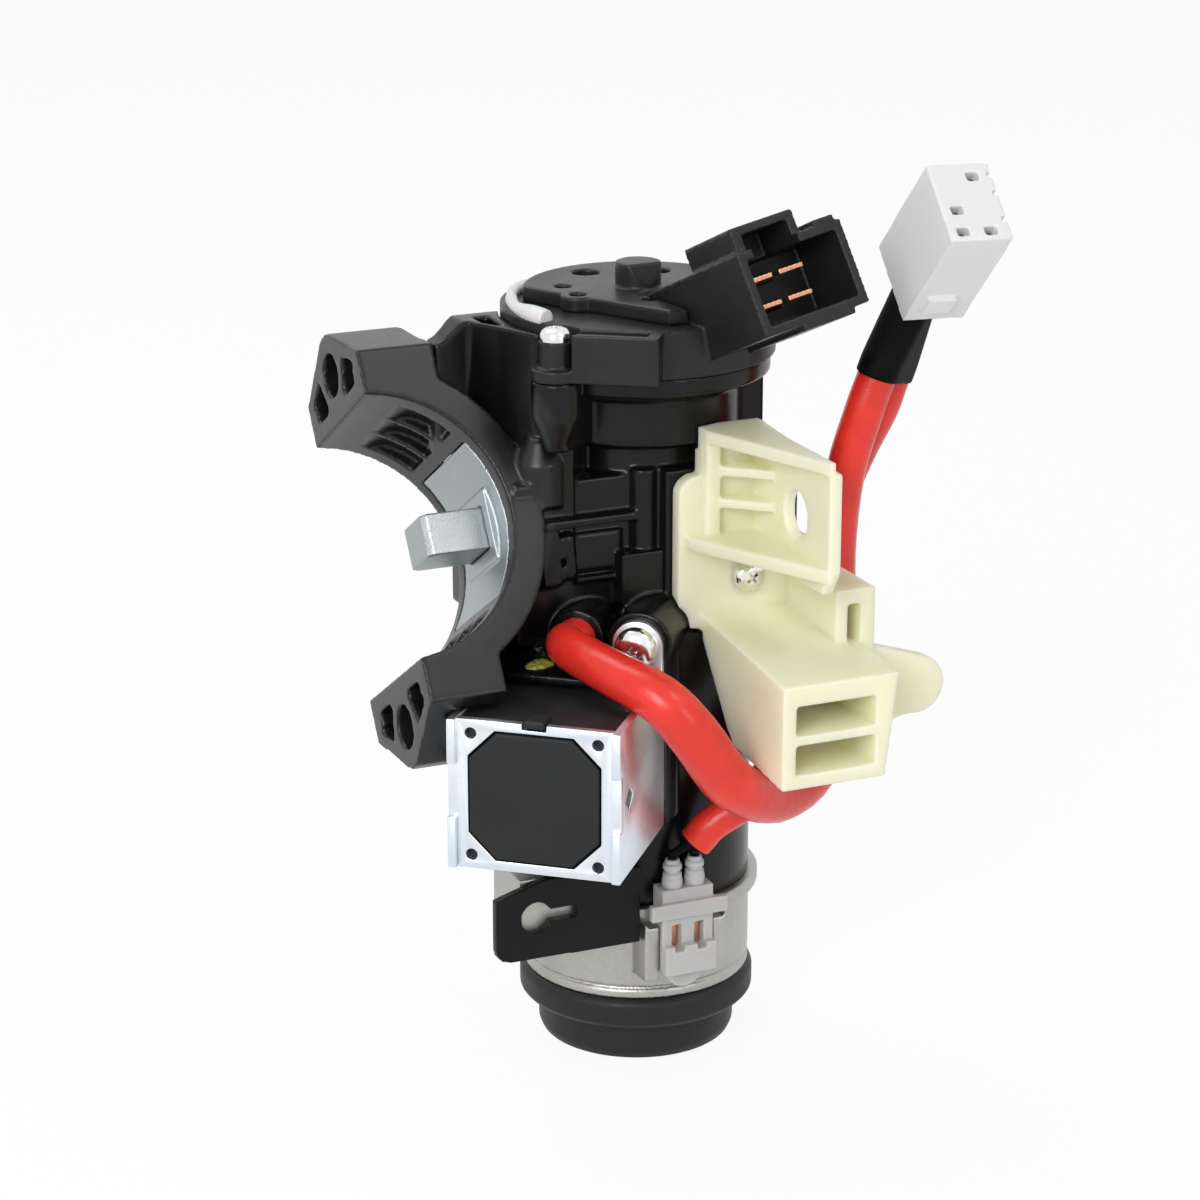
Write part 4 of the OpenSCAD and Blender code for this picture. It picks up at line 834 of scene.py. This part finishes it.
@dataclass
class Harness(SubAssembly):
    """The two red sleeves, their shrink boot, the white plug and the short black wires."""

    title = "harness"
    wide: float = 6.6
    slim: float = 5.8
    swell: float = 0.3
    swell_at: float = 0.36
    swell_span: float = 0.2
    boot_at: Point = (37.9, -16.0, 23.7)
    plug_at: Point = (43.3, -17.3, 39.6)
    boot_across: Point = (0.4, -0.55, 0.0)
    foot_gap: float = 0.1
    foot_lead: float = 6.0
    port_reach: float = 24.0
    port_aside: float = -3.7
    port_z: float = -14.2
    port_leads: tuple[float, float] = (1.5, 5.0)
    slim_end: Point = (-0.1, -23.9, -50.3)
    steps: int = 4
    core_wall: float = 0.65
    core_rise: float = 0.3
    core_dishes: tuple[tuple[float, float], ...] = ((0.35, 0.22), (0.6, 0.04))
    wide_route: tuple[Point, ...] = (
        (-19.6, -30, -15), (-14.6, -40.5, -17.5), (-9.5, -42.6, -23.6), (-2.2, -41.2, -33.4),
        (9, -35, -40), (20, -28, -39), (28, -20, -31), (30.5, -15, -19), (30.2, -14.5, -6),
        (30.8, -16, 8))
    slim_route: tuple[Point, ...] = (
        (2.5, -25, -47), (8, -26, -43.5), (15, -22, -40), (22, -14, -34), (29, -6, -20),
        (33, -5, -6), (36.5, -9, 8))

    def __post_init__(self) -> None:
        """Works out the boot's direction and the way across it."""
        self.boot_dir = (Vector(self.plug_at) - Vector(self.boot_at)).normalized()
        self.boot_side = self.boot_dir.cross(Vector(self.boot_across)).normalized()

    def route(self, first: Vector, points: Sequence[Vector], side: int,
              diameter: float) -> list[Vector]:
        """Works out a sleeve's centre line from its first point into the boot.

        Args:
            first: Where it starts, in millimetres from the lock axis.
            points: The points that it passes.
            side: Which side of the boot it enters, 1 or -1.
            diameter: Its diameter in millimetres.

        Returns:
            The line's points.
        """
        foot = Vector(self.boot_at) + self.boot_side * side * (diameter / 2 + self.foot_gap)
        ends = [foot - self.boot_dir * self.foot_lead, foot - self.boot_dir]
        return [first] + self.smooth([*points, *ends]) + [foot]

    def smooth(self, points: Sequence[Vector]) -> list[Vector]:
        """Draws a smooth line through points.

        Args:
            points: The points.

        Returns:
            The line, in the same number of steps between each pair.
        """
        line = []
        last = len(points) - 1
        for i in range(last):
            a = points[i - 1] if i else 2 * points[0] - points[1]
            b, c = points[i], points[i + 1]
            d = points[i + 2] if i + 2 <= last else 2 * points[last] - points[last - 1]
            for j in range(self.steps):
                t = j / self.steps
                line.append(0.5 * (2 * b + (c - a) * t + (2 * a - 5 * b + 4 * c - d) * t ** 2
                                   + (3 * b - a - 3 * c + d) * t ** 3))
        return line + [points[last]]

    def sleeve(self, name: str, node: str, line: Sequence[Vector], diameter: float,
               swell: float) -> bpy.types.Object:
        """Makes a sleeve as a curve.

        Args:
            name: The piece's name.
            node: The CAD node that it stands for.
            line: Its centre line, in millimetres from the lock axis.
            diameter: Its diameter in millimetres.
            swell: How much wider it is at its widest place, as a share.

        Returns:
            The curve object.
        """
        last = len(line) - 1
        stations = [
            (lock_point(*place),
             1 + swell * math.exp(-((i / last - self.swell_at) / self.swell_span) ** 2))
            for i, place in enumerate(line)]
        obj = Bench.tube(name, "POLY", diameter / 2 * MM, stations, sides=5)
        obj.data.splines[0].use_smooth = True
        return self.keep(obj, RED, Body.HOUSING, "red_sleeve", node)

    @staticmethod
    def length(line: Sequence[Vector]) -> float:
        """Returns a line's length in metres."""
        return sum((b - a).length for a, b in zip(line, line[1:])) * MM

    def build(self) -> None:
        """Builds the cords first, then what is on them."""
        out, side = map(Vector, solenoid_axes())
        port = out * self.port_reach + side * self.port_aside + Vector((0, 0, self.port_z))
        leads = [port + out * lead for lead in self.port_leads]
        wide = self.route(port, [*leads, *map(Vector, self.wide_route)], -1, self.wide)
        end = Vector(self.slim_end)
        start = end + (Vector(self.slim_route[0]) - end).normalized()
        slim = self.route(end, [start, *map(Vector, self.slim_route)], 1, self.slim)
        wide_sleeve = self.sleeve("sleeve_wide", "conduit_a", wide, self.wide, self.swell)
        slim_sleeve = self.sleeve("sleeve_slim", "conduit_b", slim, self.slim, 0.0)
        boot = self.softened("shrink_boot", Soft(0.3, 12, 20000), INSULATION, "black_wire")
        plug = self.softened("plug_body", Soft(0.22, 2, 90000), WHITE, "white_plastic")
        terminals = [frame["nodes"][f"plug_terminal_{i}"] for i in range(1, 5)]
        # The terminals' dark colour is painted shade for the plug's windows.
        self.dress(TERMINAL_WITH_PAINTED_SHADE, *[terminal.name for terminal in terminals])
        self.dress(INSULATION, "warning_wire_left", "warning_wire_right")
        lock_point(*wide[0])
        self.length(wide)
        lock_point(*slim[0])
        self.length(slim)
        self.mouth(end, start)
        LOG.info("harness: sleeves %.3f m and %.3f m", self.length(wide), self.length(slim))

    def mouth(self, end: Vector, start: Vector) -> None:
        """Fills the slim sleeve's cut end with a dished core in black insulation that its wires
        leave from; its black is also painted shade for the sleeve's hollow end.

        Args:
            end: The middle of the cut end, in millimetres from the lock axis.
            start: A point of the centre line behind it.
        """
        Bench.release()
        bpy.ops.mesh.primitive_circle_add(
            vertices=40, radius=(self.slim / 2 - self.core_wall) * MM, fill_type="NGON")
        core = bpy.context.object
        core.name = "sleeve_core_painted_shade"
        with Bench.editing():
            rise = (0, 0, self.core_rise * MM)
            bpy.ops.mesh.extrude_region_move(TRANSFORM_OT_translate={"value": rise})
            for inset, drop in self.core_dishes:
                bpy.ops.mesh.inset(thickness=inset * MM)
                bpy.ops.transform.translate(value=(0, 0, -drop * MM))
        core.rotation_euler = (end - start).to_track_quat("Z", "Y").to_euler()
        core.location = lock_point(*end)
        Bench.settle(core)
        Bench.smooth(core)
        # Painted shade: the black core also darkens the sleeve's open end.
        self.keep(core, INSULATION, Body.HOUSING, "black_wire")


@dataclass
class LockHousing(SubAssembly):
    """The black casting with its collar, guide plate, bolt and inner works."""

    title = "housing"
    bolt_travel: float = 7.5
    dab_at: Point = (-24.3, -15.0, -18.5)
    dab_size: Point = (2.7, 1.9, 0.5)
    dab_turn: float = 15.0
    dab_lumps: float = 1.1
    dab_rough: float = 0.9
    dab_crease: float = 60.0

    def build(self) -> None:
        """Builds the casting and what runs in it."""
        self.softened("lock_housing", Soft(0.36, 4, 190000), PAINT, "housing")
        self.softened("guide_plate", Soft(0.25, 3, 30000), GUIDE_ZINC, "cast_zinc")
        self.softened("lock_bolt", Soft(0.25, 4, 30000), BOLT_ZINC, "lock_steel", Body.BOLT)
        self.dress(PAINT, "chamber_cover")
        self.dress(ZINC, "cam_shaft")
        self.dress(PLATED, "retaining_pin")
        for end in ("front", "rear"):
            self.coiled("bolt_spring_" + end, "bolt_slide", (1, 0, 0), self.bolt_travel)
        self.dab()

    def dab(self) -> None:
        """Builds the inspector's dab of yellow paint above the solenoid."""
        Bench.release()
        bpy.ops.mesh.primitive_uv_sphere_add(segments=24, ring_count=12, radius=MM)
        obj = bpy.context.object
        obj.name = "paint_dab"
        with Bench.editing():
            bpy.ops.transform.resize(value=self.dab_size)
            bpy.ops.mesh.subdivide(number_cuts=1)
        clouds = bpy.data.textures.new("dab_clouds", "CLOUDS")
        clouds.noise_scale = self.dab_lumps * MM
        Bench.apply(obj, "DISPLACE", texture=clouds, texture_coords="LOCAL",
                    strength=self.dab_rough * MM, mid_level=0.5)
        obj.location = lock_point(*self.dab_at)
        obj.rotation_euler = (0, 0, math.radians(self.dab_turn))
        Bench.settle(obj)
        Bench.apply(obj, "SMOOTH", factor=0.5, iterations=3)
        Bench.smooth(obj, self.dab_crease)
        self.keep(obj, PAINT_DAB, Body.HOUSING, "housing")


@dataclass
class LockCylinder(SubAssembly):
    """Sleeve, plug, wafers, shutter, cap and side plate."""

    title = "cylinder"
    wafers: int = 6

    def build(self) -> None:
        """Builds the key end."""
        self.softened("lock_sleeve", Soft(0.3, 3, 90000), ZINC, "cast_zinc")
        self.softened("face_cap", Soft(0.35, 5, 60000), MATTE_BLACK, "black_cap")
        self.softened("key_plate", Soft(0.2, 3, 30000), PLATE_BLACK, "black_cap")
        self.softened("lock_plug", Soft(0.3, 2, 40000), ZINC, "plug_zinc", Body.ROTOR)
        self.dress(BRASS, *[f"wafer_{i + 1}" for i in range(self.wafers)])
        self.dress(PLATED, "key_shutter", "shutter_pin")


@dataclass
class WarningSwitch(SubAssembly):
    """The white key-warning switch on the sleeve's front."""

    title = "warning switch"

    def build(self) -> None:
        """Builds the body, leaves and seals."""
        self.softened("warning_body", Soft(0.18, 3, 40000), MILKY, "white_plastic")
        for side in ("left", "right"):
            self.softened("warning_seal_" + side, Soft(0.12, 3, 12000), SEAL, "seal_rubber")
            self.dress(COPPER, "warning_leaf_" + side)


@dataclass
class InterlockSolenoid(SubAssembly):
    """Bent steel yoke, front plate, bobbin, coil and plunger."""

    title = "solenoid"
    plunger_travel: float = 4.0
    yoke_edge: float = 0.16
    plate_edge: float = 0.12

    def build(self) -> None:
        """Builds the solenoid."""
        self.broken("solenoid_yoke", self.yoke_edge, PLATED, "plated_steel")
        self.broken("solenoid_front", self.plate_edge, PLATED, "plated_steel")
        self.softened("solenoid_bobbin", Soft(0.25, 2, 50000), BOBBIN, "black_cap")
        self.dress(COPPER, "solenoid_coil")
        self.dress(PLATED, "solenoid_core", "solenoid_plunger")
        out, _ = solenoid_axes()
        self.coiled("plunger_spring", "plunger_slide", out, self.plunger_travel)


@dataclass
class BracketMoulding(SubAssembly):
    """The cream bracket."""

    title = "bracket"

    def build(self) -> None:
        """Builds the bracket."""
        self.softened("bracket", Soft(0.28, 5, 110000), CREAM, "cream_plastic")


@dataclass
class ElectricalSwitch(SubAssembly):
    """Black switch base with connector, cover, rotor, blades and grease."""

    title = "switch"
    blades: int = 4
    bead: tuple[tuple[float, float, float], ...] = (
        (-19.9, -8.2, 1.15), (-20.9, -4.8, 1.3), (-21.3, -1.2, 0.95), (-21.0, 2.6, 0.75),
        (-19.9, 6.4, 0.9), (-18.4, 10.2, 0.7), (-16.2, 13.4, 0.95), (-12.8, 16.6, 0.8),
        (-8.6, 19.0, 0.5))
    bead_z: float = 37.0
    bead_lift: float = 0.45
    bead_swell: float = 1.3

    def build(self) -> None:
        """Builds the switch."""
        self.softened("switch_base", Soft(0.26, 3, 120000), BLACK_MOULDING, "switch_black")
        self.softened("switch_cover", Soft(0.26, 3, 50000), BLACK_MOULDING, "switch_black")
        self.dress(ROTOR, "switch_rotor")
        self.dress(COPPER, "bridge_contact")
        for i in range(self.blades):
            self.softened(f"blade_{i + 1}", Soft(0.14, 2, 12000), COPPER, "copper")
        self.grease()

    def grease(self) -> None:
        """Squeezes the bead of white grease along the base's rim."""
        stations = [(lock_point(x, y, self.bead_z + self.bead_lift * radius),
                     radius * self.bead_swell) for x, y, radius in self.bead]
        obj = Bench.tube("grease_bead", "NURBS", MM, stations, sides=4)
        spline = obj.data.splines[0]
        spline.use_endpoint_u = True
        spline.order_u = 3
        Bench.hold(obj)
        bpy.ops.object.convert(target="MESH")
        obj = bpy.context.object
        Bench.soften(obj, Soft(0.22, 4, 9000))
        self.keep(obj, GREASE, Body.HOUSING, "white_plastic")


@dataclass(frozen=True)
class PanScrew:
    """A cross-recessed pan-head screw: CAD node, seat, direction, sizes and turn of the recess."""

    node: str
    seat: Point
    out: Point
    head: float
    height: float
    shank: float
    length: float
    turn: float


@dataclass
class Screws(SubAssembly):
    """Cross-recessed pan heads."""

    title = "screws"
    post_reach: float = 25.2
    post_top: float = 35.5
    front_azimuth: float = -56
    rear_azimuth: float = 124
    tab_reach: float = 25.4
    tab_aside: float = 7.0
    tab_z: float = -14.4
    bracket_seat: Point = (11.3, -19.0, -6.5)
    dome: tuple[tuple[float, float], ...] = (
        (1.0, 0.12), (0.985, 0.16), (0.94, 0.2), (0.84, 0.2), (0.66, 0.16), (0.4, 0.08))
    slot_length: float = 0.56
    slot_width: float = 0.13
    slot_taper: Point = (0.45, 0.6, 1)
    crease: float = 34.0

    def post(self, azimuth: float) -> Point:
        """Returns the top of a switch screw's post."""
        a = math.radians(azimuth)
        return math.sin(a) * self.post_reach, -math.cos(a) * self.post_reach, self.post_top

    def listed(self) -> list[PanScrew]:
        """Lists the four screws.

        Returns:
            The screws, in millimetres from the lock axis.
        """
        out, side = solenoid_axes()
        tab = (Vector(out) * self.tab_reach + Vector(side) * self.tab_aside
               + Vector((0, 0, self.tab_z)))
        return [
            PanScrew("solenoid_screw", tuple(tab), out, head=7.2, height=3.0, shank=2.0,
                     length=7.0, turn=20.0),
            PanScrew("bracket_screw", self.bracket_seat, (0, -1, 0), head=5.6, height=2.2,
                     shank=1.6, length=6.0, turn=35.0),
            PanScrew("switch_screw_front", self.post(self.front_azimuth), UP, head=5.2,
                     height=2.2, shank=1.5, length=14.0, turn=12.0),
            PanScrew("switch_screw_rear", self.post(self.rear_azimuth), UP, head=5.2,
                     height=2.2, shank=1.5, length=14.0, turn=40.0),
        ]

    def build(self) -> None:
        """Builds the screws."""
        for screw in self.listed():
            self.turned(screw)

    def turned(self, screw: PanScrew) -> None:
        """Models one screw: a shank, a domed head drawn in by rings, and a cross cut into it.

        Args:
            screw: Its place and sizes.
        """
        Bench.release()
        bpy.ops.mesh.primitive_cylinder_add(
            vertices=40, radius=screw.shank * MM, depth=screw.length * MM,
            location=(0, 0, -screw.length / 2 * MM))
        obj = bpy.context.object
        obj.name = screw.node + "_head"
        Bench.settle(obj)
        Bench.pick(obj, 1)
        full = screw.head / 2
        radius = screw.shank
        for share, rise in ((1.0, 0), *self.dome):
            bpy.ops.mesh.extrude_region_move(
                TRANSFORM_OT_translate={"value": (0, 0, screw.height * rise * MM)})
            bpy.ops.transform.resize(value=(full * share / radius,) * 2 + (1,))
            radius = full * share
        bpy.ops.object.mode_set(mode="OBJECT")
        for turn in (0, 90):
            self.cross(obj, screw, turn)
        obj.rotation_euler = (Vector(screw.out).to_track_quat("Z", "Y").to_matrix()
                              @ Matrix.Rotation(math.radians(screw.turn), 3, "Z")).to_euler()
        obj.location = lock_point(*screw.seat)
        Bench.settle(obj)
        Bench.smooth(obj, self.crease)
        self.keep(obj, CHROME, Body.HOUSING, "plated_steel", screw.node)

    def cross(self, obj: bpy.types.Object, screw: PanScrew, turn: float) -> None:
        """Cuts one tapered slot of the cross recess.

        Args:
            obj: The screw, upright at the origin.
            screw: Its sizes.
            turn: The slot's direction in degrees.
        """
        Bench.release()
        bpy.ops.mesh.primitive_cube_add(size=1.0)
        cutter = bpy.context.object
        size = (screw.head * self.slot_length * MM, screw.head * self.slot_width * MM,
                screw.height * MM)
        with Bench.editing():
            bpy.ops.transform.resize(value=size)
        Bench.pick(cutter, -1)
        bpy.ops.transform.resize(value=self.slot_taper)
        bpy.ops.object.mode_set(mode="OBJECT")
        cutter.location = (0, 0, screw.height * MM)
        cutter.rotation_euler = (0, 0, math.radians(turn))
        Bench.settle(cutter)
        Bench.apply(obj, "BOOLEAN", operation="DIFFERENCE", solver="EXACT", object=cutter)
        bpy.data.objects.remove(cutter)


def main() -> None:
    """Builds the scene and reports each piece."""
    logging.basicConfig(level=logging.INFO, format="%(message)s")
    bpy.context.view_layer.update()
    Camera().build()
    Studio().build()
    for group in (Harness(), LockHousing(), LockCylinder(), WarningSwitch(), InterlockSolenoid(),
                  BracketMoulding(), ElectricalSwitch(), Screws()):
        group.build()
    Bench.release()


if __name__ == "__main__":
    main()
